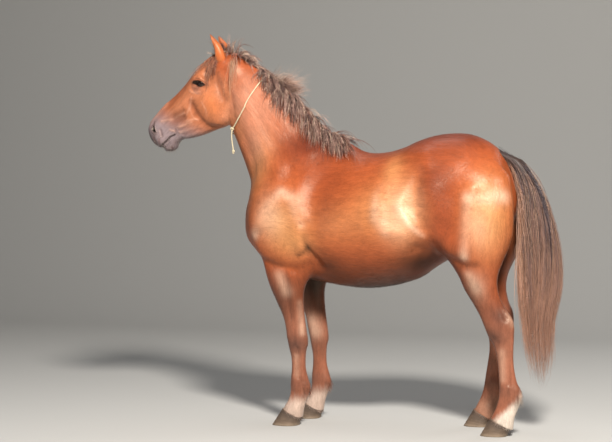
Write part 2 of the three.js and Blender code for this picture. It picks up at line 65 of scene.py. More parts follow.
def level(z, front, back, outer, inner, power=2.15, fullest=0.5):
    """A section of a leg or the tail: its axis runs down Z, high is its back and right its outer side."""
    return (-z, back, front, front + (back - front) * fullest, outer, inner, power, power)


TRUNK_ROWS = [even(*row) for row in (
    (-758, 1215, 925, 1060, 145), (-700, 1290, 885, 1055, 180, 1.8, 2.2),
    (-620, 1370, 838, 1040, 210, 1.7, 2.3), (-520, 1440, 790, 1030, 226, 1.6, 2.3),
    (-400, 1478, 754, 1025, 238, 1.5, 2.2), (-290, 1487, 736, 1020, 247, 1.4, 2.1),
    (-200, 1462, 722, 1020, 261, 1.5), (-90, 1423, 716, 1020, 283, 1.75), (20, 1426, 727, 1025, 298, 1.95),
    (110, 1450, 748, 1040, 300, 2.1), (190, 1484, 777, 1070, 290, 2.2), (270, 1508, 830, 1120, 276, 2.2),
    (370, 1519, 890, 1150, 270, 2.1, 2.1), (450, 1514, 930, 1160, 262, 2.0, 2.2),
    (540, 1479, 960, 1160, 240, 1.9, 2.2), (620, 1424, 985, 1170, 200, 1.9, 2.2),
    (700, 1372, 1015, 1180, 135),
)]
NECK_ROWS = [even(*row) for row in (
    (-100, 190, -330, -110, 190, 1.3), (30, 275, -400, -110, 208, 1.3), (110, 268, -335, -90, 190, 1.25),
    (180, 255, -286, -60, 168, 1.25), (250, 246, -240, -40, 148, 1.25), (340, 235, -207, -20, 129, 1.3),
    (430, 226, -181, 0, 114, 1.35), (540, 211, -152, 10, 102, 1.4), (640, 190, -130, 15, 95, 1.5),
    (730, 165, -115, 12, 90, 1.6), (810, 133, -100, 5, 82, 1.8), (890, 88, -90, 0, 70),
)]
HEAD_ROWS = [even(*row) for row in (
    (-60, 0, -150, -70, 62), (0, 28, -190, -60, 72, 2.2), (65, 46, -215, -60, 84, 2.4),
    (130, 52, -242, -50, 91, 2.6, 2.2), (185, 56, -260, -42, 94, 2.6, 2.5),
    (222, 57, -270, -45, 92, 2.5, 2.7), (262, 56, -268, -55, 86, 2.3, 2.8),
    (300, 57, -252, -60, 78, 2.2, 2.8), (345, 58, -230, -60, 69, 2.1, 2.7), (400, 63, -206, -55, 60, 2, 2.5),
    (455, 63, -172, -45, 53, 2, 2.3), (505, 61, -138, -35, 50, 2, 2.2), (550, 57, -124, -35, 54, 2, 2.2),
    (590, 48, -114, -36, 54, 2.1, 2.2), (631, 28, -100, -38, 47, 2.1, 2.2),
)]
LIP_ROWS = [even(*row) for row in (
    (425, -90, -168, -125, 40), (490, -94, -142, -116, 40), (528, -96, -141, -118, 41),
    (557, -98, -153, -123, 42), (585, -100, -146, -121, 40), (610, -102, -131, -115, 33),
)]
FORELEG_ROWS = [level(*row) for row in (
    (1060, -640, -440, 180, 70), (980, -664, -402, 210, 60), (900, -655, -366, 223, 58),
    (840, -625, -352, 219, 66), (780, -609, -372, 206, 80), (710, -583, -398, 196, 94),
    (630, -543, -401, 188, 106), (550, -510, -393, 182, 113), (490, -497, -385, 185, 109),
    (435, -485, -381, 187, 106), (390, -477, -388, 181, 112), (345, -469, -391, 175, 119),
    (290, -468, -388, 174, 120), (245, -472, -376, 178, 116), (208, -474, -367, 182, 112),
    (170, -475, -370, 179, 115), (135, -486, -384, 175, 119), (95, -508, -398, 190, 104),
    (30, -540, -410, 204, 90),
)]
HINDLEG_ROWS = [level(*row) for row in (
    (1400, 430, 650, 155, 50, 2, 0.4), (1300, 370, 686, 212, 40, 2, 0.38), (1200, 320, 703, 249, 36, 2, 0.38),
    (1100, 292, 711, 271, 34, 2, 0.38), (1010, 290, 708, 277, 34, 2, 0.4),
    (940, 318, 688, 268, 40, 2.1, 0.45), (865, 386, 655, 246, 56), (795, 432, 632, 226, 78),
    (728, 462, 633, 209, 94), (660, 505, 658, 198, 106), (600, 540, 697, 194, 112), (548, 563, 714, 195, 112),
    (500, 583, 716, 192, 114), (450, 612, 714, 186, 120), (400, 627, 713, 181, 126),
    (340, 635, 717, 178, 129), (280, 639, 729, 179, 128), (228, 641, 750, 184, 122),
    (188, 638, 757, 182, 124), (145, 626, 741, 177, 129), (95, 603, 722, 191, 114), (30, 580, 712, 206, 98),
)]
TAIL_ROWS = [level(z, front, back, half, -half, 2) for z, front, back, half in (
    (1440, 560, 604, 22), (1420, 562, 640, 34), (1403, 570, 690, 42), (1386, 590, 738, 48),
    (1352, 625, 771, 56), (1290, 668, 802, 63), (1200, 700, 840, 70), (1090, 702, 876, 78),
    (960, 704, 909, 86), (820, 700, 925, 88), (690, 704, 914, 84), (575, 724, 884, 74), (450, 738, 880, 62),
    (330, 762, 871, 46), (232, 786, 848, 26),
)]
# How far back each leg stands, at a few heights.
STANCES = {
    "foreleg_left": [(0, 0), (1100, 0)],
    "foreleg_right": [(0, 12), (1100, 12)],
    "hindleg_left": [(0, 0), (1400, 0)],
    "hindleg_right": [(0, -165), (220, -153), (420, -108), (560, -68), (800, -18), (1000, 0), (1400, 0)],
}
# Toe and heel on the ground and at the coronet, half widths there, and the middle's place to the side.
HOOVES = {
    "fore": ((-572, -430), (-512, -399), (65, 52), 147), "hind": ((545, 682), (600, 716), (62, 50), 153),
}
CORONET_ANGLE, CORONET_HEIGHT = math.radians(24), 84

UPRIGHT = (np.zeros(3), np.array([1.0, 0, 0]), np.array([0, 0, 1.0]))
DOWN = (np.zeros(3), np.array([0, 0, -1.0]), np.array([1.0, 0, 0]))
NECK_FRAME = (np.array([-0.400, 0, 1.200]), np.array([-0.6157, 0, 0.788]), np.array([0.788, 0, 0.6157]))
HEAD_FRAME = (np.array([-0.895, 0, 1.945]), np.array([-0.7193, 0, -0.6947]), np.array([-0.6947, 0, 0.7193]))


# ---- curves, lofts and fields

def full_turn(count):
    return np.linspace(0, 2 * np.pi, count, endpoint=False)


def signed_power(x, power):
    return np.sign(x) * np.abs(x) ** power


class Curve:
    """Cubic Hermite pieces through rows of values. The slope at a row is the rise on each side of it,
    weighted by the span on the other side."""

    def __init__(self, places, values):
        self.x, self.y = np.asarray(places, float), np.asarray(values, float).reshape(len(places), -1)
        span = np.diff(self.x)[:, None]
        rise = np.diff(self.y, axis=0) / span
        inner = (rise[:-1] * span[1:] + rise[1:] * span[:-1]) / (span[1:] + span[:-1])
        self.slope = np.vstack([rise[:1], inner, rise[-1:]])

    def __call__(self, at):
        at = np.clip(at, self.x[0], self.x[-1])
        i = np.clip(np.searchsorted(self.x, at, side="right") - 1, 0, len(self.x) - 2)
        span = (self.x[i + 1] - self.x[i])[:, None]
        s = (at - self.x[i])[:, None] / span
        a, b = self.y[i], self.y[i + 1]
        p, q = self.slope[i] * span, self.slope[i + 1] * span
        return a + s * (p + s * (3 * (b - a) - 2 * p - q + s * (2 * (a - b) + p + q)))


class Loft:
    """Rounded sections along an axis. A section is the curve side = middle + half |cos t|^(2/power),
    above = wide + reach |sin t|^(2/power), shrunk by an ellipse at the ends."""

    def __init__(self, frame_, caps, rows, face=RIGHT, stance=None):
        self.origin, self.axis, self.up = frame_
        self.face = face
        self.caps = np.array(caps) * MM
        table = np.array(rows, float)
        table[:, :6] *= MM
        self.start, self.end = table[0, 0], table[-1, 0]
        self.curve = Curve(table[:, 0], table[:, 1:])
        steps = np.array(stance if stance else [(0, 0), (1, 0)], float) * MM
        self.back = Curve(steps[:, 0], steps[:, 1])
        along = np.linspace(self.start, self.end, 60)
        turns = np.linspace(0, 2 * np.pi, 24)
        cloud = self.point(*[grid.ravel() for grid in np.meshgrid(along, turns)])
        self.box = cloud.min(0), cloud.max(0)

    def offset(self, along):
        return self.back(-along)[:, 0]

    def local(self, p):
        q = p - self.origin
        along = q @ self.axis
        return along, q @ self.up - self.offset(along), q[:, 1] * self.face

    def world(self, along, above, side):
        above = above + self.offset(along)
        p = self.origin + along[:, None] * self.axis + above[:, None] * self.up
        p[:, 1] += self.face * side
        return p

    def shrink(self, along):
        """Quarter ellipses that close the rounded ends: sqrt(1 - (1 - distance / cap)^2)."""
        size = np.ones_like(along)
        for distance, cap in ((along - self.start, self.caps[0]), (self.end - along, self.caps[1])):
            if cap > 0:
                size = size * np.sqrt(np.clip(1 - (1 - np.clip(distance / cap, 0, 1)) ** 2, 0, 1))
        return size

    def point(self, along, turn, grow=0.0, scale=1.0):
        high, low, wide, right, left, roof, keel = self.curve(along).T
        across, upward = np.cos(turn), np.sin(turn)
        power = 2 / np.where(upward > 0, roof, keel)
        size = self.shrink(along) * scale
        reach = np.where(upward > 0, high - wide, wide - low) + grow
        above = wide + size * reach * signed_power(upward, power)
        middle, half = (right + left) / 2, (right - left) / 2 + grow
        return self.world(along, above, middle + size * half * signed_power(across, power))

    def field(self, p):
        """About the distance from the surface, less than 0 inside: |q| - R(direction of q) in the section."""
        along, above, side = self.local(p)
        high, low, wide, right, left, roof, keel = self.curve(along).T
        s, n = side - (right + left) / 2 + 1e-6, above - wide
        power = np.where(n > 0, roof, keel)
        reach = np.where(n > 0, high - wide, wide - low)
        length = np.hypot(s, n)
        rho = (np.abs(s / (right - left) * 2) ** power + np.abs(n / reach) ** power) ** (1 / power)
        inside = length - length / np.maximum(rho, 1e-5) * self.shrink(along)
        over = np.maximum(np.maximum(self.start - along, along - self.end), 0)
        return np.where(over > 0, np.hypot(np.maximum(inside, 0), over), inside)

    def near_field(self, p, reach=0.09):
        """The field where p is close to the loft, and reach elsewhere."""
        value = np.full(len(p), reach)
        close = ((p > self.box[0] - reach) & (p < self.box[1] + reach)).all(1)
        value[close] = np.minimum(self.field(p[close]), reach)
        return value


def smooth_min(a, b, blend):
    """min(a, b) with its crease rounded over a width of blend."""
    h = np.clip(0.5 + 0.5 * (b - a) / blend, 0, 1)
    return b + (a - b) * h - blend * h * (1 - h)


TRUNK = Loft(UPRIGHT, (110, 120), TRUNK_ROWS)
NECK = Loft(NECK_FRAME, (190, 90), NECK_ROWS)
HEAD = Loft(HEAD_FRAME, (80, 48), HEAD_ROWS)
LIP = Loft(HEAD_FRAME, (60, 28), LIP_ROWS)
TAIL = Loft(DOWN, (8, 60), TAIL_ROWS)
LEGS = {
    name: Loft(
        DOWN, (90, 0) if "fore" in name else (120, 0), FORELEG_ROWS if "fore" in name else HINDLEG_ROWS,
        LEFT if "left" in name else RIGHT, stance,
    )
    for name, stance in STANCES.items()
}


def on_head(along, above, side, face=RIGHT):
    """A point of the head from millimetres along it from the poll, above its axis and out to one side."""
    return HEAD.origin + MM * (along * HEAD.axis + above * HEAD.up + face * side * np.array([0, 1, 0]))


EYE_RADIUS = 0.022
LID_RADIUS = 0.0243
EYES = {face: on_head(188, -33, 80, face) for face in (LEFT, RIGHT)}
EAR_ROOTS = [np.array([-903, face * 47, 1899]) * MM for face in (LEFT, RIGHT)]
SHIFT = (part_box("eye_left")[0].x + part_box("eye_left")[1].x) / 2 - EYES[LEFT][0]


def head_place(p):
    """Millimetres along the head from the poll, above its axis and out to the right."""
    return [value / MM for value in HEAD.local(p)]


def near_head(p, reach):
    return np.minimum(HEAD.near_field(p), LIP.near_field(p)) < reach


def from_eyes(p):
    """How far each point is from the nearer eye's middle."""
    return np.min([np.linalg.norm(p - eye, axis=-1) for eye in EYES.values()], axis=0)


def coronet_plane(name):
    """Where horn meets hair: a point of the plane and the way up from it, sloping down to the heel."""
    front = HOOVES[name[:4]][1][0] + STANCES[name][0][1]
    up = np.array([math.sin(CORONET_ANGLE), 0, math.cos(CORONET_ANGLE)])
    return np.array([front, 0, CORONET_HEIGHT]) * MM, up


def trunk_and_neck(p):
    return smooth_min(TRUNK.near_field(p, 0.17), NECK.near_field(p, 0.17), 0.12)


def body_field(p):
    """The whole skin: trunk, neck, legs, head and lip run into each other, and the lids over the eyeballs."""
    value = trunk_and_neck(p)
    for name, leg in LEGS.items():
        point, up = coronet_plane(name)
        shank = np.maximum(leg.near_field(p), (point - p) @ up - 0.006)
        value = smooth_min(value, shank, 0.04)
    face = smooth_min(HEAD.near_field(p), LIP.near_field(p), 0.008)
    for eye in EYES.values():
        face = smooth_min(face, np.linalg.norm(p - eye, axis=1) - LID_RADIUS + COAT_DEPTH, 0.012)
    for root in EAR_ROOTS:
        face = smooth_min(face, np.linalg.norm(p - root, axis=1) - 0.026, 0.035)
    return smooth_min(value, face, 0.034)


def slope_of(field, p, step=4e-4):
    base = field(p)
    grad = np.stack([(field(p + step * e) - base) / step for e in np.eye(3)], 1)
    return base, grad


def onto_skin(p, rounds=4, depth=COAT_DEPTH, field=body_field):
    """Newton steps down the field's slope to where it is -depth. Returns points and outward normals."""
    p = p.copy()
    for _ in range(rounds):
        value, grad = slope_of(field, p)
        step = (value + depth) / np.maximum((grad**2).sum(1), 0.09)
        p -= grad * np.clip(step, -0.008, 0.008)[:, None]
    _, grad = slope_of(field, p)
    return p, grad / np.maximum(np.linalg.norm(grad, axis=1, keepdims=True), 1e-9)


# ---- meshes

def piece(name, points, faces, slot, tint=None, grain=None, uv=None, nodes=(), seam=1.0):
    """A smooth mesh object from points in the horse's own frame (N x 3) and faces, as corner lists or a
    triangle array. tint is a colour at each point, and seam, its alpha, how far the hair's pattern leaves the
    grain for plain space; uv is the place of each face corner on the OFBake map."""
    mesh = bpy.data.meshes.new(name)
    places = np.asarray(points, float) + [SHIFT, 0, 0]
    if isinstance(faces, np.ndarray):
        mesh.vertices.add(len(places))
        mesh.vertices.foreach_set("co", places.astype(np.float32).ravel())
        mesh.loops.add(faces.size)
        mesh.loops.foreach_set("vertex_index", faces.astype(np.int32).ravel())
        mesh.polygons.add(len(faces))
        mesh.polygons.foreach_set("loop_start", np.arange(0, faces.size, faces.shape[1], dtype=np.int32))
        mesh.update(calc_edges=True)
    else:
        mesh.from_pydata(places.tolist(), [], faces)
    mesh.polygons.foreach_set("use_smooth", np.ones(len(mesh.polygons), bool))
    if tint is not None:
        alpha = np.ones((len(places), 1)) * np.reshape(seam, (-1, 1))
        rgba = np.hstack([np.broadcast_to(tint, (len(places), 3)), alpha])
        layer = mesh.attributes.new("tint", "FLOAT_COLOR", "POINT")
        layer.data.foreach_set("color", rgba.astype(np.float32).ravel())
    if grain is not None:
        layer = mesh.attributes.new("grain", "FLOAT_VECTOR", "POINT")
        layer.data.foreach_set("vector", np.asarray(grain, np.float32).ravel())
    if uv is not None:
        mesh.uv_layers.new(name="OFBake").data.foreach_set("uv", np.asarray(uv, np.float32).ravel())
    mesh.materials.append(MATERIALS[slot])
    mesh.validate()
    made = bpy.data.objects.new(name, mesh)
    bpy.context.scene.collection.objects.link(made)
    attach(made, "root")
    if nodes:
        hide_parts(*nodes)
    return made


def tube_faces(rings, around):
    """Quads of a tube of rings and a fan on each end: the two end points follow the rings."""
    faces = []
    for i in range(rings - 1):
        for j in range(around):
            a, b = i * around + j, i * around + (j + 1) % around
            faces.append((a, b, b + around, a + around))
    start, top = rings * around, (rings - 1) * around
    for j in range(around):
        k = (j + 1) % around
        faces += [(start, k, j), (start + 1, top + j, top + k)]
    return faces


def outward(points, faces):
    """The faces of a closed mesh, all turned over if they look inward."""
    corners = points[[face[:3] for face in faces]] - points.mean(0)
    volume = np.einsum("ij,ij->i", corners[:, 0], np.cross(corners[:, 1], corners[:, 2])).sum()
    return faces if volume > 0 else [face[::-1] for face in faces]


def tube(rings):
    """Points and outward faces of rings (R x A x 3), closed at each end on the ring's own middle."""
    points = np.vstack([rings.reshape(-1, 3), rings[0].mean(0), rings[-1].mean(0)])
    faces = tube_faces(*rings.shape[:2])
    return points, outward(points, faces)


def unit(v):
    return v / np.maximum(np.linalg.norm(v, axis=-1, keepdims=True), 1e-12)


def smoothstep(low, high, x):
    s = np.clip((x - low) / (high - low), 0, 1)
    return s * s * (3 - 2 * s)


def bell(x, middle, width):
    return np.exp(-(((x - middle) / width) ** 2))


def rounded_path(points, count):
    """Evenly spaced points of a smooth curve through a few points."""
    points = np.asarray(points, float)
    curve = Curve(np.arange(len(points)), points)
    dense = curve(np.linspace(0, len(points) - 1, 400))
    run = np.concatenate([[0], np.cumsum(np.linalg.norm(np.diff(dense, axis=0), axis=1))])
    at = np.interp(np.linspace(0, run[-1], count), run, np.linspace(0, len(points) - 1, 400))
    return curve(at)


def to_line(p, line):
    """The distance of each point of p from a polyline."""
    nearest = np.full(len(p), np.inf)
    for a, b in zip(line[:-1], line[1:]):
        ab = b - a
        share = np.clip((p - a) @ ab / max(ab @ ab, 1e-12), 0, 1)
        nearest = np.minimum(nearest, np.linalg.norm(p - a - share[:, None] * ab, axis=1))
    return nearest


# ---- the unwrap of the skin, and the run of its hair

PARTS = {"trunk": TRUNK, "neck": NECK, "head": HEAD, **LEGS}
TILES = {
    "trunk": (0.01, 0.01, 0.48, 0.52), "neck": (0.50, 0.01, 0.24, 0.52), "head": (0.75, 0.01, 0.24, 0.52),
    "foreleg_left": (0.01, 0.54, 0.24, 0.45), "foreleg_right": (0.26, 0.54, 0.23, 0.45),
    "hindleg_left": (0.50, 0.54, 0.24, 0.45), "hindleg_right": (0.75, 0.54, 0.24, 0.45),
}


def part_of(p):
    return np.argmin([loft.near_field(p, 0.5) for loft in PARTS.values()], axis=0)


def tile_place(p, part):
    """Each point's place in its part's tile: along the part, and its turn about the part's middle."""
    along_share, turn_share = np.zeros(len(p)), np.zeros(len(p))
    for index, loft in enumerate(PARTS.values()):
        own = part == index
        if own.any():
            along, above, side = loft.local(p[own])
            _, _, wide, right, left, _, _ = loft.curve(along).T
            turn = np.arctan2(above - wide, side - (right + left) / 2)
            turn_share[own] = (turn / (2 * np.pi) + 0.25) % 1
            along_share[own] = (along - loft.start + 0.12) / (loft.end - loft.start + 0.24)
    return np.clip(along_share, 0, 1), turn_share


def in_tile(along_share, turn_share, part):
    u0, v0, du, dv = np.array(list(TILES.values()))[part].T
    return np.stack([u0 + du * along_share, v0 + dv * np.clip(turn_share, 0, 1)], -1)


def skin_uv(points, corners, starts):
    """The unwrap at each face corner. A face takes its first corner's part, and may wrap past the seam."""
    face = np.repeat(np.arange(len(starts)), np.diff(np.append(starts, len(corners))))
    lead = corners[starts]
    part = part_of(points[lead])[face]
    along_share, turn_share = tile_place(points[corners], part)
    ahead = turn_share - turn_share[starts][face]
    turn_share = turn_share - np.round(ahead)
    return in_tile(along_share, turn_share, part)


HAIR_SQUEEZE = 0.16  # the pattern's scale along the hair, as a share of that across it
GRAINS = [
    # each part, and where its pattern starts, so that it runs on from the trunk's
    (TRUNK, (0, 0, 0)), (NECK, (-0.05, 0, 1.2)), (HEAD, (-0.2, 0, 1.4)),
    *[(leg, (-0.1, 0, 1.0)) for leg in LEGS.values()],
]


def grain_of(p):
    """Coordinates for the pattern of the hair, squeezed along each part, and how far two parts mix there."""
    weights, values = [], []
    for loft, start in GRAINS:
        along, above, side = loft.local(p)
        values.append(np.stack([along * HAIR_SQUEEZE, side, above], -1) + start)
        weights.append(np.exp(-np.clip(loft.near_field(p, 0.2), -0.02, 0.2) / 0.022))
    weights = np.array(weights) / np.sum(weights, 0)
    return np.einsum("kn,knj->nj", weights, np.array(values)), 1 - smoothstep(0.72, 0.94, weights.max(0))


def lie_of(p, normal):
    """The way the hair lies: back along the trunk, down the neck, the legs and the face."""
    ways = [
        (TRUNK, np.array([1.0, 0, -0.35])), (NECK, np.array([0.75, 0, -0.66])),
        (HEAD, np.array([0.62, 0, 0.45])),
        *[(leg, np.array([0.18, 0, -1.0])) for leg in LEGS.values()],
    ]
    total = np.zeros_like(p)
    for loft, way in ways:
        weight = np.exp(-np.clip(loft.near_field(p, 0.2), -0.03, 0.2) / 0.02)
        total += weight[:, None] * unit(way)
    total -= (total * normal).sum(1)[:, None] * normal
    return unit(total)


# ---- forms laid on the skin

# Muscles and hollows along short lines: from, to, radius, height. Each is on both sides of the body.
SWELLS = [
    ((-560, 150, 1330), (-620, 190, 1060), 90, 12), ((-470, 170, 1330), (-500, 215, 1120), 60, -7),
    ((-430, 210, 1120), (-400, 222, 960), 80, 14), ((-330, 210, 1240), (-300, 235, 1060), 70, -8),
    ((-330, 190, 840), (-300, 200, 900), 45, -10), ((255, 215, 1418), (262, 240, 1376), 48, 13),
    ((165, 262, 1330), (190, 280, 1150), 75, -15), ((300, 262, 1230), (345, 268, 1010), 60, 9),
    ((540, 235, 1320), (600, 225, 1120), 80, 9), ((-180, 280, 1000), (40, 300, 980), 150, 8),
]
# Finer forms of the body: the muscles of neck, shoulder and thigh and the edges of the flank.
BODY_FORMS = [
    ((-606, 205, 1059), (-557, 212, 1150), (-484, 216, 1219), (-423, 216, 1162), (-375, 222, 1038), 44, 8),
    ((-375, 225, 1038), (-363, 225, 959), (-326, 215, 869), (-290, 205, 815), 26, -14),
    ((-366, 225, 985), (-352, 222, 935), (-322, 214, 868), 9, -7),
    ((-410, 218, 890), (-375, 222, 905), (-352, 222, 935), 9, -6),
    ((-395, 215, 860), (-352, 215, 872), 22, 7),
    ((-660, 150, 900), (-553, 200, 845), (-430, 212, 815), 24, -13),
    ((-600, 175, 950), (-500, 215, 900), 50, 6),
    ((-250, 110, 1400), (-370, 160, 1310), (-516, 168, 1253), (-638, 150, 1161), 56, -4),
    ((215, 262, 1420), (181, 284, 1288), (152, 296, 1144), (199, 292, 1067), (285, 268, 985), 22, 10),
    ((245, 250, 1390), (240, 275, 1250), (242, 285, 1130), (272, 275, 1040), 34, -14),
    ((83, 280, 1310), (25, 290, 1221), (37, 297, 1088), (72, 295, 1033), (187, 288, 1001), 26, 6),
    ((135, 280, 1330), (95, 293, 1180), (115, 296, 1085), 32, -8),
    ((279, 262, 985), (325, 250, 924), (393, 235, 859), 18, 8),
    ((235, 240, 925), (330, 215, 860), 34, -16), ((350, 258, 985), (395, 264, 925), 46, 10),
    ((520, 238, 1230), (503, 248, 1161), (499, 255, 1056), (482, 255, 917), 34, 10),
    ((565, 222, 1190), (562, 228, 1060), (548, 225, 930), 28, -8),
    ((438, 262, 1180), (434, 268, 1010), 42, -8),
    ((340, 245, 915), (415, 248, 874), (487, 242, 840), (544, 228, 848), 22, -12),
    ((640, 165, 1240), (652, 160, 1090), (630, 150, 960), 24, -5),
    ((300, 130, 1500), (480, 120, 1490), 60, 4),
    ((-745, 0, 1150), (-748, 0, 1060), (-735, 0, 930), 26, -11), ((-715, 78, 1110), (-722, 72, 960), 46, 8),
    ((-800, 60, 1590), (-700, 95, 1400), (-655, 115, 1230), 24, -6),
    ((-640, 72, 1690), (-500, 92, 1550), (-380, 112, 1430), 34, 5),
    ((-700, 85, 1620), (-560, 118, 1440), (-470, 150, 1330), 26, -4),
    ((-790, 78, 1740), (-700, 100, 1560), (-600, 130, 1380), 34, 5),
    ((-160, 262, 1300), (-120, 298, 1100), (-70, 292, 940), 17, 1.6),
    ((-95, 268, 1310), (-50, 300, 1110), (0, 294, 930), 17, 1.6),
    ((-225, 250, 1290), (-190, 285, 1090), (-150, 280, 930), 17, 1.6),
    ((-300, 90, 755), (60, 90, 750), 40, 4),
    ((-851, 82, 1789), (-836, 86, 1721), (-828, 86, 1654), (-832, 84, 1593), (-842, 70, 1562), 16, -7),
    ((-30, 150, 1390), (160, 160, 1440), 45, 5), ((-240, 60, 1475), (-330, 50, 1482), 40, 3),
]
# The same on the head, in millimetres along it, above its axis and out to the side.
HEAD_SWELLS = [
    ((222, -140, 82), (246, -205, 80), 62, 14), ((212, -83, 82), (268, -66, 74), (345, -56, 62), 17, 8),
    ((150, 6, 92), (200, 14, 90), 24, 9), ((120, -22, 92), (132, -46, 92), 24, -9),
    ((461, -160, 34), (408, -200, 40), (356, -226, 44), 24, 6), ((300, 30, 50), (420, 38, 40), 30, -5),
    ((60, -100, 84), (70, -170, 80), 34, -4),
]


FORM_REACH = 2.8  # in radii: past this a form is too low to matter


def rises(p, lines, place):
    """The sum of height * exp(-(distance / radius)^2) over the lines, on both sides."""
    total = np.zeros(len(p))
    for *ends, radius, height in lines:
        for face in (LEFT, RIGHT):
            line = np.array([place(end, face) for end in ends])
            reach = FORM_REACH * radius * MM
            close = ((p > line.min(0) - reach) & (p < line.max(0) + reach)).all(1)
            total[close] += height * MM * bell(to_line(p[close], line), 0, radius * MM)
    return total


def on_body(end, face):
    return np.array([end[0], face * end[1], end[2]]) * MM


def mouth_level(along):
    """How far above the head's axis the lips meet, in millimetres, from the mouth's corner to its front."""
    levels = Curve([470, 501, 528, 554, 577, 600, 650], [-103, -103, -94, -95, -92, -91, -88])
    return levels(along)[:, 0]


def nostril_shape(p, face):
    """0 in the middle of a nostril and 1 on its rim: a tall comma whose upper end curls back."""
    along, above, side = head_place(p)
    du, dn = along - 565, above - 4
    tall = (-26 * du + 42 * dn) / 49.4
    wide = (42 * du + 26 * dn) / 49.4
    wide = wide + 7.0 * np.clip(tall / 22, -1, 1.4) ** 2 - 3
    width = np.where(wide > 0, 8.5, 9.5) * (1 - 0.28 * np.clip(tall / 22, -1, 1))
    shape = np.hypot(tall / 23, wide / width)
    return np.where(side * face > 0, shape, 9.0)


def carve(points, normals):
    """Moves the skin's points along their normals by its muscles, folds and openings."""
    rise = rises(points, SWELLS, on_body) + rises(points, BODY_FORMS, on_body)
    rise += rises(points, HEAD_SWELLS, lambda end, face: on_head(*end, face))
    rise += 2.1 * rises(points, FOLDS, lambda end, face: on_head(*end, face))
    rise += rises(points, LIMB_FORMS, on_body) * smoothstep(0.86, 0.72, points[:, 2])
    along, above, _ = head_place(points)
    in_head = near_head(points, 0.02)
    parting = bell(above, mouth_level(along), 3.2) * smoothstep(495, 508, along)
    rise -= 0.0052 * parting * in_head
    lips = bell(np.abs(above - mouth_level(along)), 10, 6) * smoothstep(500, 540, along)
    rise += 0.0016 * lips * in_head
    points = points + normals * rise[:, None]
    for face in (LEFT, RIGHT):
        shape = nostril_shape(points, face)
        rim, pit = bell(shape, 1.32, 0.3)[:, None], 1 - smoothstep(0.35, 1.06, shape)[:, None]
        points = points + 0.0030 * rim * normals + 0.017 * pit * unit(np.array([0.62, -face * 0.78, 0.30]))
    return points


# Fine folds of the head: the edge of the cheek, veins of the face, wrinkles before the cheek and round the
# lips. The coat's colour also has painted shade along the hollow ones and painted highlights along the
# raised.
FOLDS = [
    ((304, -66, 72), (318, -99, 74), (330, -149, 72), (331, -205, 60), (312, -244, 50), 20, -4.5),
    ((326, -238, 46), (286, -262, 44), 12, -5),
    ((435, -44, 54), (398, -71, 60), 24, -5), ((464, -107, 46), (431, -124, 54), (392, -148, 60), 4.5, -2.6),
    ((470, -118, 44), (438, -134, 52), (398, -158, 58), 5, 2.0),
    ((452, -96, 52), (418, -112, 58), (380, -134, 62), 5.5, 2.4),
    ((396, -108, 62), (357, -130, 66), (338, -150, 68), 5.5, 2.2),
    ((405, -124, 60), (366, -147, 64), 4.5, -2.0),
    ((465, -140, 40), (429, -160, 46), (372, -192, 50), 6.5, -3.0), ((428, 56, 10), (560, 52, 10), 16, 2.0),
    ((280, -44, 82), (330, -74, 74), (380, -84, 66), 4.5, 2.0),
    ((330, -74, 74), (350, -110, 70), (345, -160, 66), 4.0, 1.8),
    ((372, -66, 60), (452, -36, 50), (505, 2, 46), 5, 1.8),
    ((250, -110, 92), (262, -150, 94), (300, -190, 84), 4.5, 1.4),
    ((486, -92, 46), (494, -122, 42), 3.4, -1.8), ((476, -86, 48), (483, -118, 44), 3.2, -1.2),
    ((500, -70, 50), (488, -90, 48), 5, 1.6),
    ((560, -138, 34), (572, -150, 20), 4, -1.2), ((530, -132, 38), (540, -152, 26), 4, -1.1),
    ((545, 34, 40), (575, 30, 40), 7, -1.8), ((596, -30, 46), (615, -58, 40), 6, -1.4),
    ((540, -30, 54), (556, -58, 54), 7, -2.4),
    ((580, -60, 50), (604, -80, 42), 4, -0.9), ((225, -246, 44), (150, -228, 52), 20, 3),
    ((96, -60, 88), (150, -180, 86), 20, -4),
    ((222, -62, 92), (250, -40, 88), (262, -10, 80), 5, 1.8), ((226, -36, 94), (246, -8, 88), 5, -1.6),
]
# Bones and sinews of the legs, on the outside of each: fore, then hind.
LIMB_FORMS = [
    ((-484, 176, 462), (-478, 182, 420), 24, 5), ((-398, 150, 456), (-390, 150, 425), 18, 6),
    ((-440, 186, 452), (-436, 186, 425), 13, -3), ((-475, 178, 400), (-466, 180, 385), 15, 3),
    ((-455, 182, 388), (-450, 180, 250), 14, 3.5),
    ((-424, 180, 405), (-418, 178, 250), 9, -5.5), ((-400, 172, 405), (-397, 170, 250), 11, 3.5),
    ((-398, 150, 218), (-378, 150, 200), 18, 5), ((-440, 182, 225), (-430, 182, 206), 26, 2),
    ((-455, 172, 182), (-450, 172, 150), 16, -3),
    ((-548, 205, 800), (-528, 195, 640), 30, 8), ((-440, 205, 780), (-425, 192, 560), 24, 7),
    ((-492, 207, 830), (-466, 192, 560), 15, -8),
    ((-400, 180, 700), (-402, 170, 540), 14, -3), ((-455, 205, 800), (-400, 205, 780), 40, 2),
    ((702, 152, 578), (712, 152, 545), 26, 3), ((604, 184, 560), (640, 190, 520), 26, 4),
    ((640, 186, 740), (662, 188, 640), (684, 180, 590), 15, -8),
    ((672, 165, 740), (692, 160, 650), (712, 152, 575), 18, 2.5),
    ((600, 186, 500), (640, 186, 470), 16, -3), ((632, 190, 623), (659, 192, 572), (679, 190, 495), 14, 2.4),
    ((655, 180, 480), (660, 178, 250), 13, 3.5), ((688, 178, 490), (698, 178, 260), 9, -5),
    ((712, 165, 480), (722, 160, 270), 11, 3),
    ((735, 152, 234), (754, 152, 212), 18, 5), ((690, 182, 234), (700, 182, 216), 30, 1.5),
    ((560, 228, 770), (600, 206, 660), 30, 8),
    ((600, 215, 790), (632, 200, 690), 18, -6), ((500, 235, 790), (545, 205, 650), 26, 5),
]


# ---- eyes: their frame and the opening of the lids

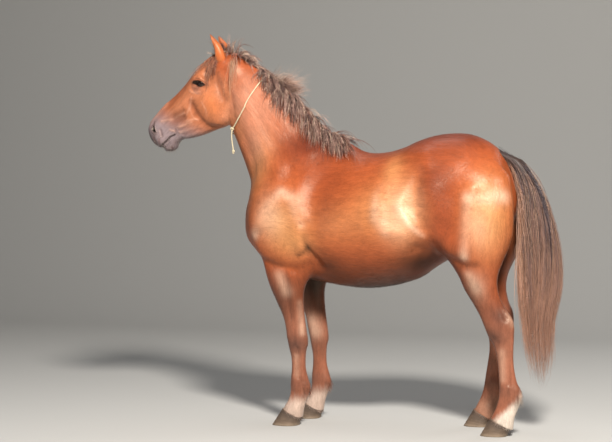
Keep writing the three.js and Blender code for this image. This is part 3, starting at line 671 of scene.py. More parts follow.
OPENING_LENGTH, UPPER_LID, LOWER_LID = 25.0, 13.5, 11.5


def eye_frame(face):
    """The eye's middle, and the ways forward, up and outward from it."""
    outward = unit(np.array([-0.10, face * 0.99, 0.05]))
    forward = np.array([-0.9876, 0, 0.1445])
    forward = unit(forward - forward @ outward * outward)
    upward = np.cross(forward, outward) * face
    return EYES[face], forward, upward * np.sign(upward[2]), outward


def lid_place(p, face):
    """Places on the eye's ball, in millimetres forward and up from its outermost point, and p's distance."""
    middle, forward, upward, outward = eye_frame(face)
    ray = p - middle
    radius = np.linalg.norm(ray, axis=1)
    ray = ray / radius[:, None]
    angle = np.arccos(np.clip(ray @ outward, -1, 1))
    spread = angle / np.maximum(np.sin(angle), 1e-6) * EYE_RADIUS / MM
    return ray @ forward * spread, ray @ upward * spread, radius


def opening_edge(u, v):
    """About the distance outside the opening: the larger of those from the circles of the two lids."""
    v = v - 0.045 * u
    distance = []
    for height in (UPPER_LID, -LOWER_LID):
        size = (OPENING_LENGTH**2 + height**2) / (2 * abs(height))
        drop = (abs(height) - size) * np.sign(height)
        lean = 1.6 if height > 0 else -1.6
        distance.append(np.hypot(u - lean * (1 - (u / OPENING_LENGTH) ** 2), v - drop) - size)
    return -smooth_min(-distance[0], -distance[1], 1.6)


def lid_point(u, v, radius, face):
    middle, forward, upward, outward = eye_frame(face)
    spread = np.hypot(u, v)
    angle = spread * MM / EYE_RADIUS
    tangent = (u[:, None] * forward + v[:, None] * upward) / np.maximum(spread, 1e-6)[:, None]
    ray = np.cos(angle)[:, None] * outward + np.sin(angle)[:, None] * tangent
    return middle + radius * ray


def to_opening(u, v, target):
    """Moves places on the ball to where they are target outside the opening's edge."""
    for _ in range(6):
        d = opening_edge(u, v)
        du = (opening_edge(u + 0.05, v) - d) / 0.05
        dv = (opening_edge(u, v + 0.05) - d) / 0.05
        step = (target - d) / np.maximum(du**2 + dv**2, 0.1)
        u, v = u + step * du, v + step * dv
    return u, v


# ---- the skin

SKIN_CELL = 0.0125
SKIN_LOW, SKIN_HIGH = np.array([-1.42, -0.35, 0.0]), np.array([0.80, 0.35, 2.03])


def voxel_skin():
    """Quads on the level -COAT_DEPTH of the body's field, from its values on a grid."""
    axes = [np.arange(a, b, SKIN_CELL) for a, b in zip(SKIN_LOW, SKIN_HIGH)]
    shape = [len(axis) for axis in axes]
    grid = np.stack(np.meshgrid(*axes, indexing="ij"), -1).reshape(-1, 3)
    values = np.concatenate([body_field(grid[i:i + 300000]) for i in range(0, len(grid), 300000)])
    volume = openvdb.FloatGrid(0.09)
    volume.copyFromArray((values + COAT_DEPTH).reshape(shape).astype(np.float32))
    points, quads = volume.convertToQuads()
    return SKIN_LOW + np.asarray(points, float) * SKIN_CELL, np.asarray(quads)


def co_array(bm):
    return np.array([v.co for v in bm.verts], float)


def set_co(bm, points):
    for vertex, place in zip(bm.verts, points):
        vertex.co = place


def halve(bm, wanted):
    """Cuts in two every edge of the faces whose middle is wanted."""
    middles = np.array([face.calc_center_median() for face in bm.faces], float)
    chosen = wanted(middles)
    edges = {edge for face, yes in zip(bm.faces, chosen) if yes for edge in face.edges}
    bmesh.ops.subdivide_edges(bm, edges=list(edges), cuts=1, use_grid_fill=True)


MUZZLE_X = -1.1  # the muzzle is in front of this place


def is_head_or_leg(p):
    lower = (p[:, 2] < 0.60) | ((p[:, 2] < 0.72) & (p[:, 0] < 0))
    return (HEAD.near_field(p) < 0.012) & (p[:, 0] < -0.86) | lower


def is_fine(p):
    return (HEAD.local(p)[0] > 468 * MM) & (p[:, 0] < MUZZLE_X) | (from_eyes(p) < 0.047)


def is_finest(p):
    holes = np.min([nostril_shape(p, face) for face in (LEFT, RIGHT)], axis=0) < 1.5
    along, above, _ = head_place(p)
    parting = (np.abs(above - mouth_level(along)) < 6) & (along > 486) & (p[:, 0] < MUZZLE_X)
    return (from_eyes(p) < 0.033) | holes & (p[:, 0] < -1.2) | parting


# The lids' edge, turned in: millimetres outward from the opening's edge, metres from the eye's middle.
LID_HEM = ((-1.3, 0.0228), (-1.9, 0.0212), (-3.0, 0.0185))


def place_rim(rim, face, inset, depth):
    """Moves a rim's vertices to inset from the opening's edge, at depth from the eye's middle."""
    ring = list({vertex for edge in rim for vertex in edge.verts})
    u, v, _ = lid_place(np.array([vertex.co for vertex in ring], float), face)
    for vertex, place in zip(ring, lid_point(*to_opening(u, v, inset), depth, face)):
        vertex.co = place
    return ring


def cut_eye(bm, face):
    """Opens the skin over an eye along the edge of its lids, and turns the lids in under the ball."""
    points = co_array(bm)
    u, v, radius = lid_place(points, face)
    outside = np.sum((points - EYES[face]) * eye_frame(face)[3], axis=1) > 0
    inside = (opening_edge(u, v) < -0.7) & outside & (radius < 0.04) & (np.hypot(u, v) < 28)
    bmesh.ops.delete(bm, geom=[vertex for vertex, yes in zip(bm.verts, inside) if yes], context="VERTS")
    rim = [
        edge for edge in bm.edges
        if edge.is_boundary and np.linalg.norm(np.array(edge.verts[0].co) - EYES[face]) < 0.05
    ]
    ring = place_rim(rim, face, 0, LID_RADIUS - 0.0002)
    for _ in range(3):
        around = {
            vertex: [e.other_vert(vertex) for e in vertex.link_edges if e.is_boundary] for vertex in ring
        }
        moved = {vertex: (vertex.co * 2 + sum((o.co for o in others), Vector())) / (2 + len(others))
                 for vertex, others in around.items()}
        for vertex, place in moved.items():
            vertex.co = place
    for inset, depth in LID_HEM:
        made = bmesh.ops.extrude_edge_only(bm, edges=rim)["geom"]
        rim = [item for item in made if isinstance(item, bmesh.types.BMEdge) and item.is_boundary]
        place_rim(rim, face, inset, depth)
    bmesh.ops.holes_fill(bm, edges=rim)


def lid_folds(points, normals, face):
    """Creases round the lids: grooves that follow the opening's edge at a few distances from it."""
    u, v, radius = lid_place(points, face)
    edge = opening_edge(u, v)
    close = (radius < 0.045) & (edge < 22)
    above = smoothstep(-3, 6, v)
    rise = 1.5 * bell(edge, 1.6, 1.5)
    rise -= above * 2.4 * bell(edge, 5.6, 1.5)
    rise += above * 1.5 * bell(edge, 8.6, 2.2)
    rise -= above * 1.3 * bell(edge, 12.5, 1.7) * smoothstep(-16, 0, u)
    rise -= (1 - above) * 1.2 * bell(edge, 5.2, 1.3)
    rise -= (1 - above) * 0.9 * bell(edge, 9.4, 1.6) * (1 - smoothstep(-4, 14, u))
    return points + normals * (rise * MM * close)[:, None]


def make_skin():
    points, quads = voxel_skin()
    mesh = bpy.data.meshes.new("skin_base")
    mesh.from_pydata(points.tolist(), [], quads.tolist())
    bm = bmesh.new()
    bm.from_mesh(mesh)
    bpy.data.meshes.remove(mesh)
    if bm.calc_volume(signed=True) < 0:
        bmesh.ops.reverse_faces(bm, faces=bm.faces[:])
    halve(bm, is_head_or_leg)
    halve(bm, is_fine)
    set_co(bm, onto_skin(co_array(bm), rounds=3)[0])
    halve(bm, is_finest)
    points, normals = onto_skin(co_array(bm), rounds=4)
    points = carve(points, normals)
    for face in (LEFT, RIGHT):
        points = lid_folds(points, normals, face)
    set_co(bm, points)
    for face in (LEFT, RIGHT):
        cut_eye(bm, face)
    return bm


# ---- colours of the coat

def srgb(r, g, b):
    """A linear colour from display values of 0 to 255."""
    c = np.array([r, g, b]) / 255
    return np.where(c <= 0.04045, c / 12.92, ((c + 0.055) / 1.055) ** 2.4)


# The golden tone is partly the coat's own and partly painted sunlit sheen on shoulder, flank and buttock.
CHESTNUT, GOLD_AND_SHEEN, DARK_RED_AND_SHADE = srgb(154, 74, 39), srgb(196, 139, 88), srgb(92, 38, 27)
MUZZLE_GREY, LID_GREY, LIP_DARK = srgb(128, 117, 121), srgb(98, 76, 72), srgb(84, 72, 75)
PALE, KNEE_GREY, SHANK_RED = srgb(200, 186, 172), srgb(74, 50, 44), srgb(138, 88, 68)
# The darkest brown is painted shade: under the belly, in the flank's hollow, between and inside the legs and
# in creases.
PINK_TAN, DEEP_SHADE, HIGHLIGHT_GOLD = srgb(162, 122, 100), srgb(20, 12, 7), srgb(226, 194, 168)
# The forearm's dark brown is painted shade below the elbow.
NECK_SHEEN, FOREARM_SHADE = srgb(188, 134, 110), srgb(98, 60, 47)

# Patches of the coat: middle and half sizes in millimetres, colour, strength. Each is on both sides. Beside
# the coat's own tones they hold painted light: the golden patches are partly painted sheen, the palest and
# the rose ones painted highlights, the dark red ones partly painted shade on the top, and the darkest painted
# shade under the belly, in the flank's hollow and between and inside the legs.
PATCHES = [
    ((-500, 210, 1060), (130, 160, 140), GOLD_AND_SHEEN, 0.75), ((-200, 290, 1060), (200, 160, 120), GOLD_AND_SHEEN, 0.3),
    ((-420, 220, 960), (110, 120, 90), GOLD_AND_SHEEN, 0.6), ((60, 290, 1130), (170, 160, 150), GOLD_AND_SHEEN, 0.5),
    ((190, 290, 1130), (100, 160, 180), GOLD_AND_SHEEN, 0.65), ((600, 230, 1100), (110, 160, 200), GOLD_AND_SHEEN, 0.85),
    ((-820, 90, 1560), (90, 120, 160), GOLD_AND_SHEEN, 0.3), ((-720, 60, 1250), (80, 120, 160), GOLD_AND_SHEEN, 0.2),
    # the dark red patches are partly the coat's own tone and partly painted shade on the upward-facing
    # withers, back and croup and in the hollows of shoulder and thigh
    ((330, 60, 1530), (380, 300, 120), DARK_RED_AND_SHADE, 0.9), ((-60, 40, 1490), (380, 240, 110), DARK_RED_AND_SHADE, 0.9),
    ((-400, 90, 1450), (180, 130, 110), DARK_RED_AND_SHADE, 0.7), ((330, 270, 1280), (110, 130, 150), DARK_RED_AND_SHADE, 0.65),
    ((-280, 230, 1320), (130, 130, 110), DARK_RED_AND_SHADE, 0.5), ((-720, 30, 1080), (80, 90, 180), DARK_RED_AND_SHADE, 0.3),
    ((-270, 260, 1120), (90, 120, 130), DARK_RED_AND_SHADE, 0.35), ((380, 280, 1060), (80, 120, 160), DARK_RED_AND_SHADE, 0.45),
    ((100, 260, 1340), (60, 150, 90), GOLD_AND_SHEEN, 0.55), ((-650, 110, 1350), (80, 120, 190), GOLD_AND_SHEEN, 0.5),
    # the palest patches are painted highlights on the gaskin, buttock, shoulder and flank
    ((535, 230, 740), (60, 60, 80), HIGHLIGHT_GOLD, 0.35),
    ((560, 240, 1050), (60, 150, 110), HIGHLIGHT_GOLD, 0.25), ((620, 60, 840), (130, 60, 210), DEEP_SHADE, 0.95),
    ((-430, 95, 730), (130, 48, 130), DEEP_SHADE, 0.9), ((-500, 200, 650), (75, 80, 110), FOREARM_SHADE, 0.7),
    ((-560, 200, 1090), (80, 120, 110), HIGHLIGHT_GOLD, 0.35), ((160, 290, 1110), (90, 150, 130), HIGHLIGHT_GOLD, 0.4),
    # the rose patches on the upper neck are painted sheen
    ((30, 0, 685), (600, 430, 165), DEEP_SHADE, 1.0), ((-770, 90, 1700), (130, 90, 160), NECK_SHEEN, 0.55),
    ((-680, 120, 1480), (100, 120, 150), NECK_SHEEN, 0.5), ((-640, 110, 1660), (90, 90, 130), NECK_SHEEN, 0.4),
    ((-250, 215, 830), (80, 80, 80), DEEP_SHADE, 0.6),
    ((290, 190, 850), (170, 160, 95), DEEP_SHADE, 1.0), ((-430, 40, 860), (120, 90, 120), DEEP_SHADE, 0.6),
    ((470, 100, 890), (170, 120, 150), DARK_RED_AND_SHADE, 0.5), ((600, 40, 1000), (140, 80, 250), DEEP_SHADE, 0.6),
    ((-440, 170, 420), (80, 70, 60), KNEE_GREY, 0.85), ((-425, 150, 215), (75, 80, 40), KNEE_GREY, 0.5),
    ((650, 170, 600), (60, 80, 60), KNEE_GREY, 0.75),
    ((620, 170, 490), (60, 80, 50), KNEE_GREY, 0.75), ((700, 150, 232), (80, 80, 40), KNEE_GREY, 0.45),
    ((-560, 190, 700), (50, 90, 140), KNEE_GREY, 0.25), ((520, 220, 700), (50, 90, 120), KNEE_GREY, 0.25),
]
# Painted highlights along the arch of the shoulder, the flank, the thigh and the legs, where the sunlit
# sheen falls: line, width, strength.
HIGHLIGHT_LINES = [
    (
        (-655, 200, 989), (-606, 205, 1059), (-557, 212, 1150), (-500, 216, 1215), (-440, 216, 1180),
        (-385, 222, 1050), 26, 0.5,
    ),
    ((209, 262, 1420), (181, 284, 1288), (152, 296, 1144), (199, 292, 1067), (270, 268, 1000), 16, 0.35),
    ((83, 280, 1310), (25, 290, 1221), (37, 297, 1088), (90, 295, 1023), 26, 0.3),
    ((505, 250, 1190), (499, 255, 1056), (484, 255, 900), 22, 0.6),
    ((520, 238, 1190), (660, 190, 1195), 36, 0.55),
    ((498, 245, 800), (530, 235, 735), 30, 0.4), ((-515, 200, 785), (-480, 200, 700), 30, 0.3),
    ((-400, 180, 640), (-398, 175, 490), 20, 0.3), ((-432, 180, 360), (-430, 180, 270), 18, 0.2),
    ((660, 185, 420), (660, 180, 290), 22, 0.22), ((690, 170, 660), (706, 160, 560), 18, 0.25),
    ((-452, 100, 530), (-430, 100, 470), 40, 0.35),
]
# Painted shade in the creases behind the elbow and before the stifle.
CREASE_SHADE_LINES = [
    ((-375, 225, 985), (-352, 222, 935), (-322, 214, 868), (-290, 205, 815), 13, 0.75),
    ((-410, 218, 890), (-375, 222, 905), (-352, 222, 935), 10, 0.6),
    ((375, 245, 895), (430, 248, 862), (500, 240, 835), 12, 0.6),
    ((-640, 160, 900), (-585, 190, 860), (-500, 205, 838), 12, 0.4),
]


def mirror(p):
    return np.column_stack([p[:, 0], np.abs(p[:, 1]), p[:, 2]])


def mix(colour, other, weight):
    return colour + (other - colour) * np.clip(weight, 0, 1)[:, None]


def depth_share(leg, p):
    """How far back p is in a leg's section: 0 at its front, 1 at its back."""
    high, low = leg.curve(-p[:, 2])[:, :2].T
    return (leg.local(p)[1] - low) / (high - low)


def coat_colour(p):
    """The markings of the coat at points of the skin, with painted shade and highlights laid over them,
    shared by the skin and the hair that grows from it.
    """
    mirrored = mirror(p / MM)
    colour = mix(CHESTNUT, SHANK_RED, 0.85 - 0.85 * smoothstep(0.5, 0.84, p[:, 2]))
    for middle, halves, other, strength in PATCHES:
        at = mirrored
        if middle[2] < 600 and middle[0] > 0:
            forward = LEGS["hindleg_right"].offset(-p[:, 2]) / -MM * (p[:, 1] > 0)
            at = mirrored + np.outer(forward, [1.0, 0, 0])
        away = ((at - middle) / halves) ** 2
        colour = mix(colour, other, strength * np.exp(-1.2 * away.sum(1)))
    # painted highlights along the lines of sheen, and painted shade in the creases
    for lines, other in ((HIGHLIGHT_LINES, HIGHLIGHT_GOLD), (CREASE_SHADE_LINES, DEEP_SHADE)):
        for *line, width, strength in lines:
            away = to_line(mirrored * MM, np.array(line) * MM)
            colour = mix(colour, other, strength * bell(away, 0, width * MM))
    # the socks: how pale, how high in metres, how far they run up the back of the leg, and their colour
    for name, pale, height, reach, tone in (
        ("foreleg_left", 0.6, 0.15, 0.2, PALE), ("foreleg_right", 0.6, 0.16, 0.3, PALE),
        ("hindleg_left", 0.95, 0.14, 2.4, PALE), ("hindleg_right", 0.6, 0.16, 0.3, PINK_TAN),
    ):
        loft = LEGS[name]
        _, x, y = (value / MM for value in loft.local(p))
        back = depth_share(loft, p)
        own = (loft.near_field(p) < 0.03) & (p[:, 2] < 0.4)
        ragged = 4 * np.sin(y * 0.23 + x * 0.11) + 3.5 * np.sin(x * 0.31 - y * 0.17 + 2)
        ragged += 2.5 * np.sin(y * 0.9 + x * 0.7)
        level_here = p[:, 2] + ragged * MM - 0.07 * reach * (back - 0.55)
        sock = 1 - smoothstep(height - 0.045, height + 0.035, level_here)
        colour = mix(colour, tone, pale * sock * own)
    along, above, _ = head_place(p)
    in_head = near_head(p, 0.03)
    colour = mix(colour, srgb(186, 116, 80), 0.82 * in_head * smoothstep(40, 120, along))
    colour = mix(
        colour, srgb(142, 72, 46), 0.55 * in_head * smoothstep(-10, 45, above) * smoothstep(100, 330, along),
    )
    colour = mix(colour, MUZZLE_GREY, 0.92 * in_head * smoothstep(380, 530, along - 0.4 * (above + 40)))
    colour = mix(colour, LIP_DARK, 0.7 * in_head * smoothstep(560, 625, along))
    colour = mix(colour, LIP_DARK, 0.5 * in_head * smoothstep(-96, -135, above) * smoothstep(470, 530, along))
    # painted shade in the parting of the lips, over their dark skin
    parting = bell(above, mouth_level(along), 5) * smoothstep(484, 500, along) * in_head
    colour = mix(colour, srgb(30, 20, 18), 0.85 * parting)
    for face in (LEFT, RIGHT):
        shape = nostril_shape(p, face)
        colour = mix(colour, srgb(70, 52, 46), 0.6 * (1 - smoothstep(1.1, 2.2, shape)))
        # painted shade deep in the nostril's pit
        colour = mix(colour, srgb(14, 8, 8), 1 - smoothstep(0.62, 1.05, shape))
        u, v, radius = lid_place(p, face)
        edge = opening_edge(u, v)
        close = (radius < 0.06) & (np.hypot(u, v) < 60)
        colour = mix(colour, LID_GREY, 0.55 * close * bell(u, 12, 26) * bell(v, -20, 15))
        colour = mix(colour, srgb(100, 54, 40), 0.6 * close * (1 - smoothstep(3, 11, edge)))
        colour = mix(colour, srgb(20, 12, 10), close * (1 - smoothstep(1.2, 4.6, edge + 0.06 * v - 0.05 * u)))
    # painted shade in the hollow before the cheek, above the mouth's corner
    colour = mix(colour, srgb(104, 68, 58), 0.45 * in_head * bell(along, 420, 60) * bell(above, -62, 30))
    colour = mix(colour, srgb(196, 108, 54), 0.4 * in_head * bell(along, 225, 60) * bell(above, -170, 70))
    # Painted shade along the head's folds and the cheek's edge, and painted highlights along the ridges.
    fold_shade, fold_highlight, cheek_edge_shade = srgb(92, 46, 34), srgb(232, 176, 148), srgb(100, 48, 28)
    fold_shading = [
        (line, 1.3 * radius, *((fold_shade, 0.4) if height < 0 else (fold_highlight, 0.28)))
        for *line, radius, height in FOLDS
    ]
    fold_shading.append(([(304, -66, 72), (330, -149, 72), (331, -205, 60), (312, -244, 50)], 20, cheek_edge_shade, 0.3))
    for line, width, other, strength in fold_shading:
        away = to_line(mirror(p), np.array([on_head(*end) for end in line]))
        colour = mix(colour, other, strength * in_head * bell(away, 0, width * MM))
    return colour


# ---- materials

class Nodes:
    """A new material, and short ways to add and join its nodes."""

    def __init__(self, name):
        self.material = bpy.data.materials.new(name)
        self.material.use_nodes = True
        self.tree = self.material.node_tree
        self.tree.nodes.clear()

    def add(self, kind, inputs=None, **settings):
        node = self.tree.nodes.new(kind)
        for key, value in settings.items():
            setattr(node, key, value)
        for key, value in (inputs or {}).items():
            if isinstance(value, bpy.types.NodeSocket):
                self.tree.links.new(value, node.inputs[key])
            else:
                node.inputs[key].default_value = value
        return node

    def attribute(self, name):
        return self.add("ShaderNodeAttribute", attribute_name=name)

    def noise(self, vector, scale, detail=3.0):
        inputs = {"Vector": vector, "Scale": scale, "Detail": detail, "Roughness": 0.6}
        return self.add("ShaderNodeTexNoise", inputs).outputs["Fac"]

    def curve(self, value, low, high, to_low, to_high):
        inputs = {"Value": value, "From Min": low, "From Max": high, "To Min": to_low, "To Max": to_high}
        return self.add("ShaderNodeMapRange", inputs).outputs["Result"]

    def between(self, a, b, share):
        return self.add("ShaderNodeMix", {2: a, 3: b, 0: share}).outputs[0]

    def sum(self, a, b):
        return self.add("ShaderNodeMath", {0: a, 1: b}, operation="ADD").outputs[0]

    def tinted(self, light):
        """The tint attribute, made lighter or darker by light."""
        grey = self.add("ShaderNodeCombineXYZ", {0: light, 1: light, 2: light}).outputs[0]
        inputs = {0: self.attribute("tint").outputs["Color"], 1: grey}
        return self.add("ShaderNodeVectorMath", inputs, operation="MULTIPLY").outputs[0]

    def finish(self, colour, height=None, distance=0.001, **shader):
        inputs = {"Base Color": colour, **{key.replace("_", " "): value for key, value in shader.items()}}
        if height is not None:
            bump = self.add("ShaderNodeBump", {"Height": height, "Distance": distance, "Strength": 0.9})
            inputs["Normal"] = bump.outputs["Normal"]
        return self.surface(self.add("ShaderNodeBsdfPrincipled", inputs))

    def surface(self, shader):
        self.add("ShaderNodeOutputMaterial", {"Surface": shader.outputs[0]})
        return self.material


def coat_material(name, roughness):
    """The short coat: the tint, broken into streaks along the hair by noise on the grain attribute."""
    n = Nodes(name)
    grain = n.attribute("grain").outputs["Vector"]
    place, seam = n.add("ShaderNodeTexCoord").outputs["Object"], n.attribute("tint").outputs["Alpha"]
    hairs, streaks, uneven = (
        n.between(n.noise(grain, scale), n.noise(place, scale * 0.6), seam) for scale in (620.0, 150.0, 45.0)
    )
    broad = n.noise(place, 7.0, 5.0)
    light = n.sum(n.curve(hairs, 0.3, 0.7, -0.16, 0.16), n.curve(streaks, 0.3, 0.7, -0.12, 0.12))
    light = n.sum(light, n.curve(uneven, 0.3, 0.7, -0.13, 0.13))
    light = n.sum(n.sum(light, n.curve(broad, 0.3, 0.7, -0.14, 0.14)), 1.0)
    height = n.sum(n.sum(hairs, streaks), n.curve(uneven, 0.0, 1.0, 0.0, 2.2))
    return n.finish(
        n.tinted(light), height, 0.0007, Roughness=roughness, Specular_IOR_Level=0.36,
        Specular_Tint=(1.0, 0.86, 0.70, 1), Sheen_Weight=0.03, Sheen_Roughness=0.35,
        Sheen_Tint=(1.0, 0.62, 0.38, 1),
    )


def hair_material(name):
    """Loose hair: its own tint with a fine change along and across the strands."""
    n = Nodes(name)
    fine = n.noise(n.add("ShaderNodeTexCoord").outputs["Object"], 170.0, 2.0)
    light = n.curve(fine, 0.3, 0.7, 0.8, 1.2)
    return n.finish(n.tinted(light), Roughness=0.5, Specular_IOR_Level=0.4, Sheen_Weight=0.08)


def horn_material(name):
    n = Nodes(name)
    grain = n.attribute("grain").outputs["Vector"]
    rings, fibres = n.noise(grain, 60.0), n.noise(grain, 400.0, 2.0)
    light = n.sum(n.curve(rings, 0.3, 0.7, 0.8, 1.2), n.curve(fibres, 0.3, 0.7, -0.08, 0.08))
    return n.finish(n.tinted(light), n.sum(rings, fibres), Roughness=0.55, Specular_IOR_Level=0.35)


def eye_material(name):
    n = Nodes(name)
    return n.finish(n.attribute("tint").outputs["Color"], Roughness=0.06, Specular_IOR_Level=0.5)


def fibre_material(name):
    n = Nodes(name)
    place = n.add("ShaderNodeTexCoord").outputs["Object"]
    fuzz, grime = n.noise(place, 900.0), n.noise(place, 40.0)
    light = n.sum(n.curve(fuzz, 0.3, 0.7, -0.1, 0.1), n.curve(grime, 0.3, 0.75, 0.72, 1.08))
    return n.finish(n.tinted(light), fuzz, 0.0006, Roughness=0.9, Specular_IOR_Level=0.2)


MATERIALS = {
    "coat": coat_material("chestnut_coat", 0.34), "ear_coat": coat_material("ear_coat", 0.6),
    "mane_hair": hair_material("mane_hair"), "tail_hair": hair_material("tail_hair"),
    "horn": horn_material("horn"), "eye": eye_material("wet_eye"), "cord_fibre": fibre_material("cord_fibre"),
}


# ---- ears

EAR_WALL = 0.0042
EAR_BASE = np.array([-903, 56, 1905]) * MM
EAR_TIPS = {LEFT: np.array([-948, -76, 2060]) * MM, RIGHT: np.array([-966, 82, 2064]) * MM}
# By the share of the ear's length: its half width, and half of the arc that the shell covers, in degrees.
EAR_LEAF = Curve([0, 0.2, 0.42, 0.64, 0.82, 0.94, 1], [25, 30, 31, 26, 17, 9, 1.6])
EAR_ARC = Curve([0, 0.2, 0.45, 0.75, 1], [166, 150, 124, 112, 96])


def ear_frame(face):
    base = EAR_BASE * [1, face, 1]
    axis = EAR_TIPS[face] - base
    length = np.linalg.norm(axis)
    axis = axis / length
    opening = np.array([-0.96, face * 0.28, 0])
    opening = unit(opening - opening @ axis * axis)
    return base, axis, length, opening, np.cross(axis, opening)


def ear_point(share, turn, inset, face):
    """A point of the ear's shell. Its section is an arc, (half sin turn, -depth cos turn), with turn from its
    back, and the tip curls forward over the opening."""
    base, axis, length, opening, across = ear_frame(face)
    half = EAR_LEAF(share)[:, 0] * MM - inset
    depth = half * (0.95 - 0.2 * smoothstep(0.1, 0.6, share)) + 0.004 * np.sin(np.pi * share)
    curl = 0.012 * smoothstep(0.5, 1.0, share) - 0.003 * np.sin(np.pi * share)
    base = base - np.outer(smoothstep(0.22, -0.02, share), [0, face * 0.022, 0.010])
    lip = 1 + 0.10 * np.cos(turn) ** 2
    along = (length * (share * 1.14 - 0.14))[:, None] * axis
    sideways = (half * np.sin(turn) * lip)[:, None] * across
    return base + along + sideways + (curl - depth * np.cos(turn))[:, None] * opening


def ear_shell(face, rows=34, columns=26):
    """Closed shell: at each share of the length, the arc's outside and back along its inside."""
    shares = 1 - (1 - np.linspace(0, 1, rows)) ** 1.15
    sweep = np.concatenate([np.linspace(-1, 1, columns), np.linspace(1, -1, columns)])
    inner = np.concatenate([np.zeros(columns), np.ones(columns)])
    share, j = [grid.ravel() for grid in np.meshgrid(shares, np.arange(2 * columns), indexing="ij")]
    turn = np.radians(EAR_ARC(share)[:, 0]) * sweep[j]
    wall = EAR_WALL * np.sqrt(np.clip(1 - sweep[j] ** 6, 0, 1)) * np.minimum(1, (1 - share) * 6 + 0.25)
    return tube(ear_point(share, turn, wall * inner[j], face).reshape(rows, -1, 3))


def ear_colour(points, face):
    base, axis, length, opening, across = ear_frame(face)
    share = np.clip((points - base) @ axis / length, 0, 1)
    forward = (points - base) @ opening
    side = np.abs((points - base) @ across)
    inside = smoothstep(-0.012, 0.010, forward) * (side < EAR_LEAF(share)[:, 0] * MM * 0.86)
    colour = mix(srgb(172, 92, 50), srgb(120, 84, 66), 0.75 * inside)
    return mix(colour, srgb(96, 56, 40), 0.5 * smoothstep(0.8, 1, share))


# ---- eyes

# Half sizes of the pupil and the iris, in millimetres over the ball.
PUPIL, IRIS = (7.5, 4.2), (19.5, 16)


def make_eye(face, name):
    """A ball whose rings turn about the way it looks. The pupil is a lying oval, the iris has fine rays."""
    middle, forward, upward, outward = eye_frame(face)
    a, t = np.meshgrid(np.linspace(0.02, np.pi - 0.02, 40), full_turn(72), indexing="ij")
    bulge = EYE_RADIUS * (1 + 0.035 * bell(a, 0, 0.55))
    rays = np.cos(a)[..., None] * outward + np.sin(a)[..., None] * (
        np.cos(t)[..., None] * forward + np.sin(t)[..., None] * upward
    )
    points, faces = tube(middle + bulge[..., None] * rays)
    a, t = a.ravel() * EYE_RADIUS / MM, t.ravel()
    u, v = a * np.cos(t), a * np.sin(t)
    pupil = np.hypot(u / PUPIL[0], v / PUPIL[1])
    iris = np.hypot(u / IRIS[0], v / IRIS[1])
    rays_light = 1 + 0.25 * np.sin(t * 31) * np.sin(t * 12 + 1)
    brown = srgb(34, 17, 10) * rays_light[:, None]
    colour = mix(srgb(128, 96, 84), srgb(26, 14, 9), 1 - smoothstep(1.02, 1.18, iris))
    edge = (1 - smoothstep(0.88, 1.0, iris))[:, None]
    colour = colour * (1 - edge) + brown * edge
    colour = mix(colour, srgb(6, 5, 6), 1 - smoothstep(0.85, 1.15, pupil))
    colour = np.vstack([colour, srgb(6, 5, 6), srgb(60, 40, 36)])
    piece(name, points, faces, "eye", tint=colour, nodes=[name])


# ---- hooves

HOOF_HEIGHT, HOOF_TURNS = 92, 72


def hoof_point(kind, face, back, turn, height, grow=0.0):
    """A point of the wall, between the outlines of the ground and of the coronet by its share of the height.
    Each is x = middle + half |sin turn|^(2/p), y = half |cos turn|^(2/p)."""
    ground, coronet, half, middle = HOOVES[kind]
    share = height / HOOF_HEIGHT
    front, rear = (ground[k] + (coronet[k] - ground[k]) * share for k in (0, 1))
    wide = half[0] + (half[1] - half[0]) * share + grow
    power = 2 / (2.4 - 0.2 * share)
    across, deep = np.cos(turn), np.sin(turn)
    x = (front + rear) / 2 + ((rear - front) / 2 + grow) * signed_power(deep, power)
    y = face * middle + wide * signed_power(across, power)
    return np.stack([x + back, y, np.broadcast_to(height, x.shape)], -1)


def coronet_rim(kind, turn):
    """The height of the coronet's slanting rim at each turn, in millimetres, settled in a few rounds."""
    rim = np.full(len(turn), 60.0)
    for _ in range(6):
        behind = hoof_point(kind, LEFT, 0, turn, rim)[:, 0] - HOOVES[kind][1][0]
        rim = CORONET_HEIGHT - math.tan(CORONET_ANGLE) * behind
    return rim


def make_hoof(name):
    """Rings from under the sole up the wall to the coronet's slanting rim, and in beneath the hair."""
    kind, face = name[:4], LEFT if "left" in name else RIGHT
    back = STANCES[name.replace("hoof", "leg")][0][1]
    turn = full_turn(HOOF_TURNS)
    rim = coronet_rim(kind, turn)

    def ring(height, grow, lift=0.0):
        return hoof_point(kind, face, back, turn, height, grow) + [0, 0, lift]

    rows = [ring(0.0, grow, lift) for grow, lift in ((-40, 4.0), (-18, 2.5), (-7, 2.5), (-3, 0.0))]
    rows.append(ring(1.6, -0.6))
    for share in np.linspace(0.06, 1, 26):
        ripple = -0.5 + 0.55 * np.sin(share * 31 + 0.8 * np.cos(turn)) * (1 - share) ** 0.3
        rows.append(ring(rim * share, ripple))
    rows += [ring(rim + lift, grow) for lift, grow in ((1.5, -2), (2.6, -5), (2.6, -10), (-2, -22))]
    points, faces = tube(np.array(rows) * MM)
    share = np.append(np.repeat(np.linspace(0, 1, len(rows)), HOOF_TURNS), [0, 1])
    height = points[:, 2] / MM
    colour = mix(srgb(112, 94, 78), srgb(66, 54, 48), 0.8 * smoothstep(0.1, 0.95, share))
    colour = mix(colour, srgb(150, 132, 112), 0.55 * (1 - smoothstep(2, 22, height)))
    colour = mix(colour, srgb(128, 108, 92), 0.6 * smoothstep(0.86, 0.95, share))
    angle = np.append(np.tile(turn, len(rows)), [0, 0])
    grain = np.stack([0.03 * np.cos(angle), 0.03 * np.sin(angle), points[:, 2]], -1) + face
    piece(name, points, faces, "horn", tint=colour, grain=grain, nodes=[name])


# ---- the cord round the neck

